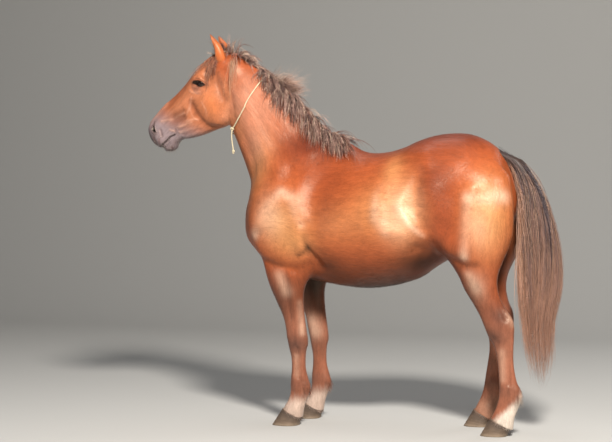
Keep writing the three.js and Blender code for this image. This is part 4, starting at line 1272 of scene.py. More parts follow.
CORD_RADIUS, CORD_SLACK, CORD_CREST, CORD_THROAT, CORD_DROOP = 3.5, 3.0, 664, 538, 1.5
CORD_STRANDS, CORD_PITCH = 3, 0.019
KNOT_ANGLE = math.radians(232)
CORD_END = [(0, -3, 0), (-1, -6, -22), (0, -8, -45), (3, -9, -70), (7, -9, -95), (10, -9, -120)]


def on_cord(turn, lift):
    """The neck's own section, lifted clear of it, on a slant from the crest down to the throat."""
    turn = np.atleast_1d(turn)
    along = CORD_THROAT + (CORD_CREST - CORD_THROAT) * ((1 + np.sin(turn)) / 2) ** CORD_DROOP
    return NECK.point(along * MM, turn, lift * MM)


def twisted(path, radius, around, closed=False):
    """Rings of a laid rope: radius * (0.8 + 0.2 |cos(strands (t - k s) / 2)|^0.7), s the length so far."""
    step = (np.roll(path, -1, 0) - np.roll(path, 1, 0)) if closed else np.gradient(path, axis=0)
    tangent = unit(step)
    run = np.concatenate([[0], np.cumsum(np.linalg.norm(np.diff(path, axis=0), axis=1))])
    whole = run[-1] + (np.linalg.norm(path[0] - path[-1]) if closed else 0)
    turns = max(1, round(whole / CORD_PITCH)) if closed else whole / CORD_PITCH
    side = np.empty_like(path)
    side[0] = unit(np.cross(tangent[0], [0.3, 1.0, 0.2]))
    for i in range(1, len(path)):
        side[i] = unit(side[i - 1] - side[i - 1] @ tangent[i] * tangent[i])
    other = np.cross(tangent, side)
    t = full_turn(around)
    phase = t[None] - 2 * np.pi * turns * (run / whole)[:, None]
    size = radius * (0.80 + 0.20 * np.abs(np.cos(CORD_STRANDS * phase / 2)) ** 0.7)
    across = np.cos(t)[None, :, None] * side[:, None] + np.sin(t)[None, :, None] * other[:, None]
    return path[:, None] + size[..., None] * across


def closed_cord(name, path, radius, around, tint):
    """A piece of the cord that runs back into itself."""
    count = len(path)
    points = twisted(path, radius * MM, around, closed=True).reshape(-1, 3)
    faces = []
    for i in range(count):
        for j in range(around):
            k, after = (j + 1) % around, (i + 1) % count
            faces.append((i * around + j, i * around + k, after * around + k, after * around + j))
    return piece(name, points, outward(points, faces), "cord_fibre", tint=tint, nodes=[name])


def make_cord():
    """The ring round the neck, drawn out to the knot, and the hanging end with a knot of its own."""
    cream = srgb(214, 200, 168)
    knot_place = on_cord(KNOT_ANGLE, 10 + CORD_SLACK)[0]
    neck_place = on_cord(KNOT_ANGLE, CORD_RADIUS + CORD_SLACK)[0]
    turns = full_turn(900)
    ring = on_cord(turns, CORD_RADIUS + CORD_SLACK)
    to_knot = bell(np.linalg.norm(ring - neck_place, axis=1), 0, 0.022)
    ring = ring + to_knot[:, None] * (knot_place - neck_place) * 0.8
    closed_cord("neck_cord", ring, CORD_RADIUS, 18, cream)

    nearest = np.abs(turns - KNOT_ANGLE).argmin()
    along = unit(ring[nearest + 4] - ring[nearest - 4])
    out = unit(knot_place - on_cord(KNOT_ANGLE, 0)[0])
    down = np.cross(out, along)
    # a trefoil: (sin t + 2 sin 2t, cos t - 2 cos 2t, -sin 3t), pulled tight
    t = full_turn(150)
    curve = np.stack([np.sin(t) + 2 * np.sin(2 * t), np.cos(t) - 2 * np.cos(2 * t), -np.sin(3 * t)], -1)
    knot = knot_place + 0.0026 * (
        curve[:, :1] * along + 1.2 * curve[:, 1:2] * down + 1.3 * curve[:, 2:] * out
    )
    closed_cord("cord_knot", knot, CORD_RADIUS, 14, cream)

    path = rounded_path(knot_place + np.array(CORD_END) * MM, 130)
    rings = twisted(path[:-6], CORD_RADIUS * MM * 0.92, 18)
    end = piece("cord_end", *tube(rings), "cord_fibre", tint=cream * 0.94, nodes=["cord_end"])
    small = path[-1] + 0.0020 * (curve[:, [0, 2, 1]] * [1.0, 1.0, 1.5])
    end_knot = closed_cord("cord_end_knot", small, CORD_RADIUS * 0.85, 14, cream * 0.9)
    route = path[::5] + [SHIFT, 0, 0]
    float(np.linalg.norm(np.diff(route, axis=0), axis=1).sum())


# ---- hair

TUFT_PATCH = 0.003  # how wide a strand's patch is on the OFBake map


def strands(name, paths, radius, side, tints, slot, nodes=(), flat=0.5, shade=None):
    """Hairs or tufts as thin closed prisms round their paths (N x S x 3): three corners to a ring, the radius
    falling to a point as (1 - s)^(1 / 2), squashed by flat across side. tints is the colour at the root and
    the tip, shade a normal that the strand mostly takes for its shading, as short hair takes the skin's. On
    the map each strand gets a small patch, TUFT_PATCH wide, where its root is."""
    count, steps = paths.shape[:2]
    tangent = unit(np.gradient(paths, axis=1))
    side = np.broadcast_to(side[:, None] if side.ndim == 2 else side, paths.shape)
    side = unit(side - (side * tangent).sum(-1, keepdims=True) * tangent)
    other = np.cross(tangent, side)
    s = np.linspace(0, 1, steps)
    size = np.reshape(radius, (-1, 1)) * (1 - s) ** 0.5 * (0.55 + 0.45 * np.minimum(1, s * 5))
    angle = np.radians([90, 210, 330])
    ring = (
        np.cos(angle)[:, None] * side[:, :-1, None] + flat * np.sin(angle)[:, None] * other[:, :-1, None]
    ) * size[:, :-1, None, None] + paths[:, :-1, None]
    points = np.concatenate([ring.reshape(count, -1, 3), paths[:, -1:]], 1)

    faces, patch = [], []
    rows = steps - 1
    for j in range(rows - 1):
        for k in range(3):
            a, b = 3 * j + k, 3 * j + (k + 1) % 3
            faces += [(a, b, b + 3), (a, b + 3, a + 3)]
            u, v = (k / 3, (k + 1) / 3), (0.1 + 0.9 * j / rows, 0.1 + 0.9 * (j + 1) / rows)
            patch += [((u[0], v[0]), (u[1], v[0]), (u[1], v[1])), ((u[0], v[0]), (u[1], v[1]), (u[0], v[1]))]
    last, tip = 3 * (rows - 1), 3 * rows
    for k in range(3):
        faces.append((last + k, last + (k + 1) % 3, tip))
        v = 0.1 + 0.9 * (rows - 1) / rows
        patch.append(((k / 3, v), ((k + 1) / 3, v), ((k + 0.5) / 3, 1.0)))
    faces.append((0, 2, 1))
    patch.append(((0.0, 0.0), (1.0, 0.0), (0.5, 0.08)))
    faces, patch = np.array(faces), np.array(patch)
    stride = points.shape[1]
    all_faces = (faces[None] + (np.arange(count) * stride)[:, None, None]).reshape(-1, 3)
    part = part_of(paths[:, 0])
    roots = in_tile(*tile_place(paths[:, 0], part), part)
    uv = roots[:, None, None, :] + TUFT_PATCH * (patch[None] - 0.5)
    share = np.append(np.repeat(s[:-1], 3), 1.0)[None, :, None]
    tint = tints[0][:, None] * (1 - share) + tints[1][:, None] * share
    uv = np.clip(uv.reshape(-1, 2), 0.0005, 0.9995)
    made = piece(name, points.reshape(-1, 3), all_faces, slot, tint=tint.reshape(-1, 3), uv=uv, nodes=nodes)
    if shade is not None:
        middle = np.concatenate([np.repeat(paths[:, :-1], 3, axis=1), paths[:, -1:]], 1)
        lean = unit(points - middle) * 0.35 + shade[:, None]
        made.data.normals_split_custom_set_from_vertices(unit(lean).reshape(-1, 3).tolist())


def lock_of(guides, per_lock, spread, frizz, gather=0.55, reach=(0.72, 1.04)):
    """Hairs round each guide (G x S x 3): offset by spread, drawing together to the tip, each cut to its own
    length and waved a little."""
    steps = guides.shape[1]
    paths = np.repeat(guides, per_lock, axis=0)
    total = len(paths)
    s = np.linspace(0, 1, steps)
    cut = uniform(*reach, total)
    at = np.clip(s[None] * cut[:, None], 0, 1.0) * (steps - 1)
    low = np.minimum(at.astype(int), steps - 2)
    rest = (at - low)[..., None]
    rows = np.arange(total)[:, None]
    paths = paths[rows, low] * (1 - rest) + paths[rows, low + 1] * rest
    offset = gauss(size=(total, 1, 3)) * spread
    drift = gauss(size=(total, 1, 3)) * frizz
    wave = gauss(size=(total, 1, 3)) * frizz * 0.35
    phase = uniform(0, 2 * np.pi, (total, 1, 1))
    s = s[None, :, None]
    return paths + offset * (1 - gather * s) + drift * s**1.5 + wave * np.sin(s * 9 + phase) * s


def neck_field(p):
    return smooth_min(trunk_and_neck(p), HEAD.near_field(p), 0.02)


def hang(roots, aim, length, droop, clear, steps=9, field=neck_field):
    """Guides that start along aim, bend to the ground by droop at each step, and stay clear of the skin."""
    place, way, path = roots.copy(), unit(aim), [roots]
    for k in range(1, steps):
        way = unit(way + droop[:, None] * np.array([0, 0, -1.0]))
        place = place + way * (length / (steps - 1))[:, None]
        for _ in range(2):
            value, grad = slope_of(field, place)
            need = clear * min(1, k / 2) - value
            place = place + unit(grad) * np.maximum(need, 0)[:, None]
        way = unit(place - path[-1])
        path.append(place)
    return np.stack(path, 1)


def tones(count, colours, weights, spread=0.16):
    """A colour for each hair: one of a few, a little lighter or darker."""
    pick = random.choice(len(colours), count, p=np.array(weights) / sum(weights))
    return np.array(colours)[pick] * np.exp(gauss(0, spread, (count, 1)))


MANE_TONES = [
    srgb(178, 142, 128), srgb(128, 97, 87), srgb(212, 180, 158), srgb(124, 72, 52), srgb(74, 52, 50),
]
CREST_WAY = NECK_FRAME[2]


def crest_roots(along, side):
    base = NECK.point(along * MM, np.full(len(along), np.pi / 2))
    base[:, 1] += side * MM
    return base - 0.004 * CREST_WAY


def make_mane():
    """Locks fall to the left behind the cord and lean to the right before it; a bunch stands up behind it."""
    # the locks
    count = 520
    along = uniform(98, 700, count)
    sway = 0.26 * np.sin(along / 31 + 1.0) + 0.18 * np.sin(along / 12.7) + gauss(0, 0.16, count)
    sway = sway - 0.45 * smoothstep(400, 560, along)
    roots = crest_roots(along, gauss(-3, 6, count))
    length = np.interp(along, [98, 180, 300, 480, 600, 700], [0.150, 0.195, 0.215, 0.205, 0.165, 0.10])
    length = length * random.triangular(0.45, 0.95, 1.15, count)
    aim = CREST_WAY * uniform(0.45, 1.15, (count, 1)) + [0, -1, 0] * uniform(0.25, 1.0, (count, 1))
    aim = aim + sway[:, None] * np.array([1.0, 0, 0])
    droop = uniform(0.24, 0.62, count)
    lift = uniform(0.002, 0.018, count) * (1 + 0.6 * bell(along, 520, 110))
    fallen = lock_of(hang(roots, aim, length, droop, lift), 7, 0.0034, 0.0085, gather=0.7, reach=(0.5, 1.04))

    # short hairs under them, so that the neck doesn't show between the locks
    count = 700
    along = uniform(96, 690, count)
    roots = crest_roots(along, gauss(-2, 4, count))
    aim = CREST_WAY * 0.4 + [0, -1, 0] * uniform(0.6, 1.0, (count, 1))
    aim = aim + [1.0, 0, 0] * gauss(0, 0.25, (count, 1))
    under = hang(roots, aim, uniform(0.07, 0.15, count), np.full(count, 0.5), uniform(0.001, 0.005, count))
    under = lock_of(under, 1, 0.002, 0.005)

    # the part near the ears, before the cord
    count = 200
    along = np.where(random.random(count) < 0.4, uniform(800, 889, count), uniform(640, 888, count))
    roots = crest_roots(along, gauss(0, 8, count))
    over = random.choice([1.0, -0.5], count, p=[0.8, 0.2])
    aim = CREST_WAY * uniform(0.3, 0.8, (count, 1)) + np.outer(over * uniform(0.3, 1.0, count), [0, 1, 0])
    aim = aim + [0.45, 0, -0.1] + gauss(0, 0.2, (count, 3))
    length = uniform(0.06, 0.12, count) * (1 + 0.5 * bell(along, 700, 40))
    top = hang(
        roots, aim, length, uniform(0.15, 0.45, count), uniform(0.002, 0.010, count), field=body_field
    )
    top = lock_of(top, 7, 0.004, 0.006, gather=0.4, reach=(0.5, 1.04))

    # upright hair, most of it in the bunch
    count = 130
    along = np.where(random.random(count) < 0.75, gauss(560, 45, count), uniform(140, 880, count))
    roots = crest_roots(np.clip(along, 110, 884), gauss(0, 5, count))
    tall = 0.035 + 0.110 * bell(along, 560, 75)
    lean = np.array([0.45, -0.15, 0.05]) + np.outer((560 - along) / 140, [0.45, 0, -0.1])
    aim = CREST_WAY + lean + gauss(0, 0.22, (count, 3))
    stand = hang(
        roots, aim, tall * uniform(0.6, 1.2, count), uniform(0.02, 0.13, count), np.full(count, 0.001),
    )
    stand = lock_of(stand, 9, 0.006, 0.016, gather=0.2, reach=(0.5, 1.05))

    # hair over the withers, and thin wisps in front of the locks
    count = 46
    roots = crest_roots(uniform(92, 165, count), gauss(-4, 7, count))
    aim = gauss(0, 0.16, (count, 3)) + [1.0, -0.45, -0.9]
    back = hang(
        roots, aim, uniform(0.12, 0.25, count), uniform(0.2, 0.4, count), uniform(0.001, 0.004, count),
    )
    back = lock_of(back, 7, 0.004, 0.006, gather=0.5, reach=(0.4, 1.04))
    count = 210
    along = uniform(150, 640, count)
    roots = crest_roots(along, gauss(-6, 5, count))
    aim = CREST_WAY * 0.5 + [-0.25, -1, 0.1] + gauss(0, 0.25, (count, 3))
    wisps = hang(
        roots, aim, uniform(0.13, 0.25, count), uniform(0.3, 0.5, count), uniform(0.002, 0.006, count),
    )
    wisps = lock_of(wisps, 1, 0.002, 0.014)

    sets = [
        (back, 7, (0.0006, 0.0012)), (wisps, 1, (0.0005, 0.0009)), (fallen, 7, (0.0007, 0.0014)),
        (under, 1, (0.0013, 0.0021)), (top, 7, (0.0006, 0.0012)), (stand, 9, (0.0004, 0.0009)),
    ]
    paths = np.concatenate([made for made, _, _ in sets])
    radius = np.concatenate([uniform(*size, len(made)) for made, _, size in sets])
    weights = (
        [2, 3, 2, 4, 1], [1, 2, 1, 5, 1], [5, 4, 3, 2, 2], [1, 2, 0, 3, 3], [3, 4, 3, 2, 2], [4, 2, 5, 1, 0],
    )
    tint = np.concatenate([
        np.repeat(tones(len(made) // per, MANE_TONES, share, 0.22), per, axis=0)
        for (made, per, _), share in zip(sets, weights)
    ])
    tint = tint * np.exp(gauss(0, 0.16, (len(tint), 1)))
    side = gauss(0, 0.3, (len(paths), 3)) + [0.9, 0.1, 0.3]
    first = len(back) + len(wisps) + len(fallen)
    for name, own in (("mane", slice(None, first)), ("mane_crest", slice(first, None))):
        tints = (tint[own] * 0.5, tint[own] * 1.15)
        strands(name, paths[own], radius[own], side[own], tints, "mane_hair", ["mane"])


def make_forelock():
    """Hair from the poll falls over the left of the forehead, down behind the eye."""
    count = 120
    along, side = uniform(-18, 44, count), uniform(-44, 12, count)
    roots = np.array([on_head(t, 0, s) for t, s in zip(along, side)])
    value, grad = slope_of(HEAD.field, roots)
    roots = roots - unit(grad) * (value + 0.003)[:, None]
    aside = random.triangular(-1.35, -0.9, 0.5, count)
    aim = HEAD.axis * uniform(0.3, 1.3, (count, 1)) + HEAD.up * 0.22 + np.outer(aside, [0, 1.0, 0])
    length = random.triangular(0.09, 0.20, 0.27, count)
    guides = hang(
        roots, aim, length, uniform(0.28, 0.55, count), uniform(0.0012, 0.005, count), field=body_field
    )
    guides = guides[from_eyes(guides).min(1) > 0.036]
    count = len(guides)
    paths = lock_of(guides, 7, 0.0030, 0.006, gather=0.6, reach=(0.5, 1.04))
    tones_here = [srgb(176, 106, 72), srgb(136, 80, 56), srgb(88, 54, 44), srgb(192, 146, 116)]
    tint = np.repeat(tones(count, tones_here, [4, 4, 2, 2]), 7, axis=0)
    across = gauss(0, 0.3, (len(paths), 3)) + [0.5, 0.8, 0]
    strands(
        "forelock", paths, uniform(0.0006, 0.0012, len(paths)), across, (tint * 0.7, tint * 1.1), "mane_hair",
        ["forelock"],
    )
    # a thin pale lock hangs from the poll, between cheek and neck
    count = 22
    roots = crest_roots(random.triangular(826, 844, 854, count), uniform(-18, -4, count))
    aim = gauss(0, 0.06, (count, 3)) + [0.10, -0.8, 0.25]
    guides = hang(
        roots, aim, uniform(0.16, 0.36, count), np.full(count, 0.8), uniform(0.003, 0.008, count),
        field=body_field,
    )
    paths = lock_of(guides, 2, 0.0040, 0.010, gather=0.3, reach=(0.6, 1.04))
    tint = tones(2 * count, [srgb(214, 178, 146), srgb(176, 122, 88)], [2, 1])
    strands("poll_lock", paths, 0.0006, np.array([1.0, 0, 0]), (tint * 0.7, tint), "mane_hair")


# ---- tail

TAIL_TONES = [
    srgb(104, 86, 88), srgb(152, 122, 110), srgb(166, 118, 88), srgb(66, 52, 56), srgb(200, 160, 132),
]


def tail_path(start, turn, depth, finish, steps=12):
    """Down the tail's own sections from height start to finish, at a turn and a share of the depth."""
    s = np.linspace(0, 1, steps)[None]
    height = start[:, None] + (finish - start)[:, None] * s
    turn = np.broadcast_to(turn[:, None], height.shape) + 0.25 * np.sin(3 * s + turn[:, None] * 2)
    depth = np.broadcast_to(depth[:, None], height.shape) * (0.45 + 0.55 * smoothstep(0, 0.3, s))
    points = TAIL.point(-height.ravel(), turn.ravel(), 0.0, depth.ravel())
    return points.reshape(*height.shape, 3)


def make_tail():
    """A core that fills the middle, tinted dark as painted shade of the hair inside, locks round it down to
    the tail's end, and loose hairs over them.
    """
    rows = np.linspace(TAIL.start, -0.60, 44)
    turn = full_turn(22)
    grid = np.meshgrid(rows, turn, indexing="ij")
    wobble = 0.62 + 0.05 * np.sin(grid[1] * 7 + grid[0] * 3) - 0.50 * smoothstep(1.0, 0.62, -grid[0])
    core = TAIL.point(grid[0].ravel(), grid[1].ravel(), 0.0, wobble.ravel())
    points, faces = tube(core.reshape(44, 22, 3))
    height = points[:, 2]
    # the core's dark tint is painted shade inside the tail
    tint = mix(srgb(52, 38, 33), srgb(70, 44, 32), smoothstep(1.0, 0.6, height))
    piece("tail_core", points, faces, "tail_hair", tint=tint, nodes=["tail"])

    count = 290
    start = random.choice([1.39, 1.30, 1.10], count, p=[0.5, 0.3, 0.2]) + uniform(-0.08, 0.045, count)
    finish = np.where(
        random.random(count) < 0.55, random.triangular(0.19, 0.24, 0.60, count), uniform(0.45, 1.0, count)
    )
    finish = np.minimum(finish, start - 0.3)
    turn = uniform(0, 2 * np.pi, count)
    depth = uniform(0.72, 1.0, count)
    guides = tail_path(start, turn, depth, finish)
    per = 10
    paths = lock_of(guides, per, 0.0055, 0.012, gather=0.35, reach=(0.78, 1.03))
    tone = np.repeat(tones(count, TAIL_TONES, [3, 4, 3, 2, 2]), per, axis=0) * np.exp(
        gauss(0, 0.2, (count * per, 1))
    )
    behind = np.repeat(smoothstep(-0.6, 0.3, np.sin(turn)) * smoothstep(0.6, 1.3, start), per)
    tone = mix(tone, srgb(62, 52, 60), 0.8 * behind)
    before = np.repeat(smoothstep(-0.3, -0.8, np.sin(turn)), per)
    tone = mix(tone, srgb(226, 180, 156), 0.75 * before)
    rust = srgb(206, 152, 124)
    low = np.repeat(smoothstep(0.75, 0.35, finish), per)
    tip = mix(tone * 1.15, rust, 0.75 * low)
    radius = uniform(0.0008, 0.0017, len(paths))
    side = paths[:, 0] - [0.7, 0, 0] + gauss(0, 0.2, (len(paths), 3))
    side = np.cross(side, [0, 0, 1.0])
    strands("tail", paths, radius, side, (tone * 0.8, tip), "tail_hair")

    count = 520
    start = random.triangular(1.15, 1.43, 1.432, count)
    paths = tail_path(start, uniform(0, 2 * np.pi, count), uniform(0.86, 1.06, count),
                      uniform(0.25, 1.0, count))
    paths = paths + gauss(0, 0.010, (count, 1, 3)) * np.linspace(0, 1, 12)[None, :, None]
    tone = tones(count, TAIL_TONES, [1, 2, 3, 0, 4])
    side = gauss(0, 1, (count, 3))
    radius = uniform(0.0004, 0.0008, count)
    strands("tail_loose", paths, radius, side, (tone * 0.7, tone * 1.2), "tail_hair")


# ---- tufts of the short coat

BARE_ROUND_EYE = 0.035


class Scatter:
    """Places over the skin's triangles, more where the weight is greater."""

    def __init__(self, points, normals, triangles):
        self.points, self.normals, self.triangles = points, normals, triangles
        a, b, c = (points[triangles[:, k]] for k in range(3))
        self.area = np.linalg.norm(np.cross(b - a, c - a), axis=1) / 2
        self.middle = (a + b + c) / 3

    def take(self, count, weight):
        chance = self.area * weight
        pick = random.choice(len(chance), count, p=chance / chance.sum())
        mix3 = random.dirichlet([1, 1, 1], count)
        corners = self.triangles[pick]
        place = np.einsum("nk,nkj->nj", mix3, self.points[corners])
        normal = unit(np.einsum("nk,nkj->nj", mix3, self.normals[corners]))
        return place, normal


def tufts(name, place, normal, lie, length, lift, radius, steps=4):
    """Short tufts: out of the skin, over along the lie, and down to lift above it at the tip."""
    s = np.linspace(0, 1, steps)[None, :, None]
    tip = place + lie * length[:, None]
    fall = body_field(tip) - body_field(place)
    bow = lift[:, None, None] * (1.9 * s - 0.9 * s**2) - 0.0007 * (1 - s) ** 2
    paths = place[:, None] + lie[:, None] * length[:, None, None] * s + normal[:, None] * (
        bow - np.clip(fall, -0.01, 0.01)[:, None, None] * s**2
    )
    tint = coat_colour(place) * np.exp(gauss(0, 0.10, (len(place), 1)))
    shade = unit(normal + 0.05 * lie)
    strands(name, paths, radius, np.cross(normal, lie), (tint, tint * 1.12), "coat", flat=0.25, shade=shade)


def make_tufts(skin):
    m = skin.middle
    head, front = HEAD.near_field(m) < 0.02, m[:, 0] < -0.42
    legs = m[:, 2] < 0.72
    bare = from_eyes(m) < BARE_ROUND_EYE
    along = HEAD.local(m)[0] / MM
    muzzle = head & (along > 520)
    regions = {
        "coat_tufts_body": (10500, ~front & ~legs, (0.012, 0.024), 0.0005, 0.0009),
        "coat_tufts_front": (8500, front & ~legs & ~head, (0.011, 0.020), 0.0005, 0.0008),
        "coat_tufts_legs": (8500, legs, (0.006, 0.013), 0.0005, 0.0006),
        "coat_tufts_head": (7500, head & ~bare & ~muzzle & ~legs, (0.004, 0.010), 0.0002, 0.00035),
    }
    for name, (count, where, (short, long), lift, radius) in regions.items():
        place, normal = skin.take(count, where.astype(float))
        lie = lie_of(place, normal)
        lie = unit(lie + 0.14 * gauss(size=(count, 1)) * np.cross(normal, lie))
        size = uniform(0.7, 1.3, count)
        tufts(
            name, place, normal, lie, uniform(short, long, count), lift * size,
            radius * uniform(0.7, 1.3, count),
        )


def fringe(name, roots, aim, length, radius, tint, slot="coat", steps=6, bend=0.15):
    """Separate hairs that stand free of the skin and droop a little."""
    s = np.linspace(0, 1, steps)[None, :, None]
    paths = roots[:, None] + unit(aim)[:, None] * length[:, None, None] * s
    paths = paths - [0, 0, 1.0] * (bend * length[:, None, None] * s**2)
    side = np.cross(unit(aim), gauss(size=(len(roots), 3)))
    strands(name, paths, radius, side, (tint * 0.8, tint * 1.1), slot, flat=0.8)


def make_fringes(skin):
    m = skin.middle
    along, above, _ = head_place(m)
    near_eye = from_eyes(m) < BARE_ROUND_EYE
    head = near_head(m, 0.02)
    chin = head & (along > 500) & (above < -88)
    lips = head & (along > 548) & (above < -40)
    place, normal = skin.take(300, (1.0 * chin + 0.5 * lips) * ~near_eye)
    aim = normal + 0.5 * HEAD.axis - [0, 0, 0.3] + gauss(0, 0.25, (300, 3))
    tint = tones(300, [srgb(176, 164, 152), srgb(96, 80, 74)], [3, 2])
    length = uniform(0.005, 0.016, 300) * np.where(random.random(300) < 0.15, 2.2, 1)
    fringe("chin_hair", place - 0.001 * normal, aim, length, 0.00032, tint)

    lashes, ways = [], []
    for face in (LEFT, RIGHT):
        _, forward, upward, outward = eye_frame(face)
        u = np.linspace(-17, 17, 38) + gauss(0, 0.5, 38)
        v = np.full(38, 12.0)
        for _ in range(5):
            v = v - (opening_edge(u, v) - 0.9)
        lashes.append(lid_point(u, v, LID_RADIUS - 0.0005, face))
        ways.append(outward + np.outer(u / 34, forward) + upward * uniform(-0.45, 0.1, (38, 1)))
    lashes, ways = np.vstack(lashes), np.vstack(ways)
    dark = np.tile(srgb(40, 24, 18), (len(lashes), 1))
    fringe("eyelashes", lashes, ways, uniform(0.007, 0.013, len(lashes)), 0.00035, dark, bend=0.3)

    roots, ways = [], []
    for face in (LEFT, RIGHT):
        _, axis, _, opening, across = ear_frame(face)
        share = uniform(0.16, 0.85, 330)
        turn = np.radians(EAR_ARC(share)[:, 0]) * random.choice([-1, 1], 330) * uniform(0.72, 0.99, 330)
        roots.append(ear_point(share, turn, 0.0035, face))
        way = opening * 0.7 + axis * 0.9 - np.sign(turn)[:, None] * across * 0.5
        ways.append(way + gauss(0, 0.2, (330, 3)))
    roots, ways = np.vstack(roots), np.vstack(ways)
    tint = tones(len(roots), [srgb(150, 104, 76), srgb(110, 70, 50), srgb(186, 150, 118)], [3, 2, 1])
    fringe("ear_hair", roots, ways, uniform(0.008, 0.022, len(roots)), 0.0004, tint, "ear_coat")

    # longer hair at the back of the fetlocks and over the coronets
    back = np.zeros(len(m))
    for leg in LEGS.values():
        own = (leg.near_field(m) < 0.02) & (m[:, 2] < 0.3)
        back += own * bell(m[:, 2], 0.185, 0.035) * (depth_share(leg, m) > 0.75)
    place, normal = skin.take(520, back)
    aim = normal * 0.5 + [0.15, 0, -1.0] + gauss(0, 0.16, (520, 3))
    fringe(
        "fetlock_hair", place - 0.001 * normal, aim, uniform(0.012, 0.034, 520), 0.0006,
        coat_colour(place) * 0.85,
    )

    roots, ways = [], []
    for name in LEGS:
        kind, face, back = name[:4], LEFT if "left" in name else RIGHT, STANCES[name][0][1]
        turn = full_turn(330) + gauss(0, 0.01, 330)
        rim = coronet_rim(kind, turn) + uniform(1, 7, 330)
        place = hoof_point(kind, face, back, turn, rim, -6.0) * MM
        roots.append(place)
        ways.append(unit(place - place.mean(0)) * 0.55 + [0, 0, -0.8] + gauss(0, 0.12, (330, 3)))
    roots, ways = np.vstack(roots), np.vstack(ways)
    fringe(
        "coronet_hair", roots, ways, uniform(0.010, 0.019, len(roots)), 0.0007, coat_colour(roots), steps=5,
    )

    # tufts that break the outline: belly, breast, elbows, flanks, jaw, throat and the backs of the legs
    x, y, z = m.T
    weight = 1.0 * (z < 0.80) * (x > -0.40) * (x < 0.30) * (z > 0.68)
    weight = weight + 0.8 * bell(z, 0.86, 0.05) * (x < -0.28) * (x > -0.42)
    weight += 1.2 * (x < -0.70) * (z < 1.2) * (np.abs(y) < 0.06) + 0.6 * (x > 0.66) * (z > 0.8)
    weight += 1.3 * head * (above < -120) * (along < 560) * (along > 60)
    weight += 0.7 * bell(z, 0.93, 0.06) * (x > 0.22) * (x < 0.4)
    for leg in LEGS.values():
        own = (leg.near_field(m) < 0.02) & (z < 0.62) & (z > 0.22)
        weight += 0.8 * own * (depth_share(leg, m) > 0.8)
    count = 8200
    place, normal = skin.take(count, weight * ~near_eye)
    lie = unit(lie_of(place, normal) + 0.2 * gauss(size=(count, 3)))
    size = np.where((place[:, 2] > 1.2) | (place[:, 2] < 0.6), 0.6, 1.0)
    tufts(
        "coat_tufts_edges", place, normal, lie, size * uniform(0.010, 0.020, count),
        size * uniform(0.0015, 0.0042, count), size * uniform(0.0005, 0.0010, count), steps=5,
    )


# ---- the pieces of the horse

def skin_piece(bm):
    """The one skin of head, neck, trunk and legs, with the ears on it."""
    points = co_array(bm)
    faces = [tuple(vertex.index for vertex in face.verts) for face in bm.faces]
    colours = coat_colour(points)
    grain, seam = grain_of(points)
    for face in (LEFT, RIGHT):
        shell, shell_faces = ear_shell(face)
        faces += [tuple(index + len(points) for index in corners) for corners in shell_faces]
        base, axis, _, _, across = ear_frame(face)
        colours = np.vstack([colours, ear_colour(shell, face)])
        ear_grain = [(shell - base) @ axis * 0.3, (shell - base) @ across, shell[:, 0]]
        grain = np.vstack([grain, np.stack(ear_grain, -1)])
        seam = np.append(seam, np.zeros(len(shell)))
        points = np.vstack([points, shell])
    corners = np.concatenate([np.array(face) for face in faces])
    starts = np.cumsum([0] + [len(face) for face in faces[:-1]])
    nodes = ["head", "neck", "trunk", *LEGS, "ear_left", "ear_right"]
    piece(
        "skin", points, faces, "coat", tint=colours, grain=grain, uv=skin_uv(points, corners, starts),
        nodes=nodes,
        seam=seam,
    )


bm = make_skin()
bm.verts.ensure_lookup_table()
bm.verts.index_update()
bm.normal_update()
skin_piece(bm)
bmesh.ops.triangulate(bm, faces=bm.faces[:])
grow = Scatter(
    co_array(bm), np.array([vertex.normal for vertex in bm.verts], float),
    np.array([[vertex.index for vertex in face.verts] for face in bm.faces]),
)
bm.free()
for name, face in (("eye_left", LEFT), ("eye_right", RIGHT)):
    make_eye(face, name)
for name in ("forehoof_left", "forehoof_right", "hindhoof_left", "hindhoof_right"):
    make_hoof(name)
make_cord()
make_mane()
make_forelock()
make_tail()
make_tufts(grow)
make_fringes(grow)


# ---- the picture: floor, lights and camera

def staged(name, data):
    """An object of the picture that isn't part of the horse."""
    made = bpy.data.objects.new(name, data)
    bpy.context.scene.collection.objects.link(made)
    return made


FLOOR_COLOUR = (0.50, 0.495, 0.48, 1)
FLOOR_REACH, BACKDROP_START, BACKDROP_CURVE, BACKDROP_TOP = 14, 5, 3, 12


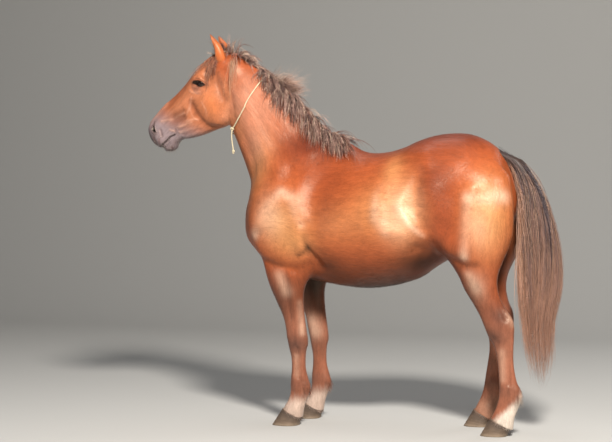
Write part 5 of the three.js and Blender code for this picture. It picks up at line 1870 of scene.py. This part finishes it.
def make_floor():
    """A pale floor that curves up into a backdrop behind the horse, clear when seen from its back."""
    across = np.linspace(-FLOOR_REACH, FLOOR_REACH, 3)
    run = [(-FLOOR_REACH, 0.0), (BACKDROP_START, 0.0)]
    for angle in np.linspace(0, 1.57, 14)[1:]:
        back, up = BACKDROP_CURVE * math.sin(angle), BACKDROP_CURVE * (1 - math.cos(angle))
        run.append((BACKDROP_START + back, up))
    run.append((BACKDROP_START + BACKDROP_CURVE, BACKDROP_TOP))
    places = [(x, y, z) for y, z in run for x in across]
    faces = [
        (i * 3 + j, i * 3 + j + 1, i * 3 + j + 4, i * 3 + j + 3) for i in range(len(run) - 1) for j in (0, 1)
    ]
    mesh = bpy.data.meshes.new("floor")
    mesh.from_pydata(places, [], faces)
    mesh.polygons.foreach_set("use_smooth", np.ones(len(mesh.polygons), bool))
    n = Nodes("pale_floor")
    pale = n.add("ShaderNodeBsdfPrincipled", {"Base Color": FLOOR_COLOUR, "Roughness": 0.8}).outputs[0]
    behind = n.add("ShaderNodeNewGeometry").outputs["Backfacing"]
    clear = n.add("ShaderNodeBsdfTransparent").outputs[0]
    mesh.materials.append(n.surface(n.add("ShaderNodeMixShader", {0: behind, 1: pale, 2: clear})))
    staged("floor", mesh)


def area_light(name, place, aim, size, power, colour=(1, 1, 1)):
    light = bpy.data.lights.new(name, "AREA")
    light.shape, light.size, light.energy, light.color = "DISK", size, power, colour
    made = staged(name, light)
    made.location = place
    made.rotation_euler = (Vector(aim) - Vector(place)).to_track_quat("-Z", "Y").to_euler()


make_floor()
area_light("key", (3.0, -5.4, 5.4), (0, 0, 1.0), 1.2, 1120, (1.0, 0.95, 0.88))
area_light("fill", (-5.5, -4.5, 2.2), (0, 0, 1.0), 3.5, 55, (0.93, 0.96, 1.0))
area_light("top", (-0.5, 1.0, 6.0), (0, 0, 1.0), 3.0, 55)
area_light("back", (3.5, 4.6, 3.2), (0.2, 0, 1.1), 2.0, 45)
world = bpy.data.worlds.new("studio")
world.use_nodes = True
world.node_tree.nodes["Background"].inputs["Color"].default_value = (0.86, 0.90, 0.95, 1)
world.node_tree.nodes["Background"].inputs["Strength"].default_value = 0.09
bpy.context.scene.world = world
bpy.context.scene.view_settings.view_transform = "Standard"

TURN, PITCH, DISTANCE, HEIGHT, ASIDE = math.radians(20), math.radians(1.49), 9.0, 1.30, -0.416
camera_data = bpy.data.cameras.new("camera")
camera_data.sensor_width, camera_data.lens = 36, 1732 / 612 * 36
camera = staged("camera", camera_data)
camera.location = (
    DISTANCE * math.sin(TURN) + ASIDE * math.cos(TURN) + SHIFT,
    -DISTANCE * math.cos(TURN) + ASIDE * math.sin(TURN), HEIGHT,
)
camera.rotation_euler = (math.pi / 2 - PITCH, 0, TURN)
bpy.context.scene.camera = camera
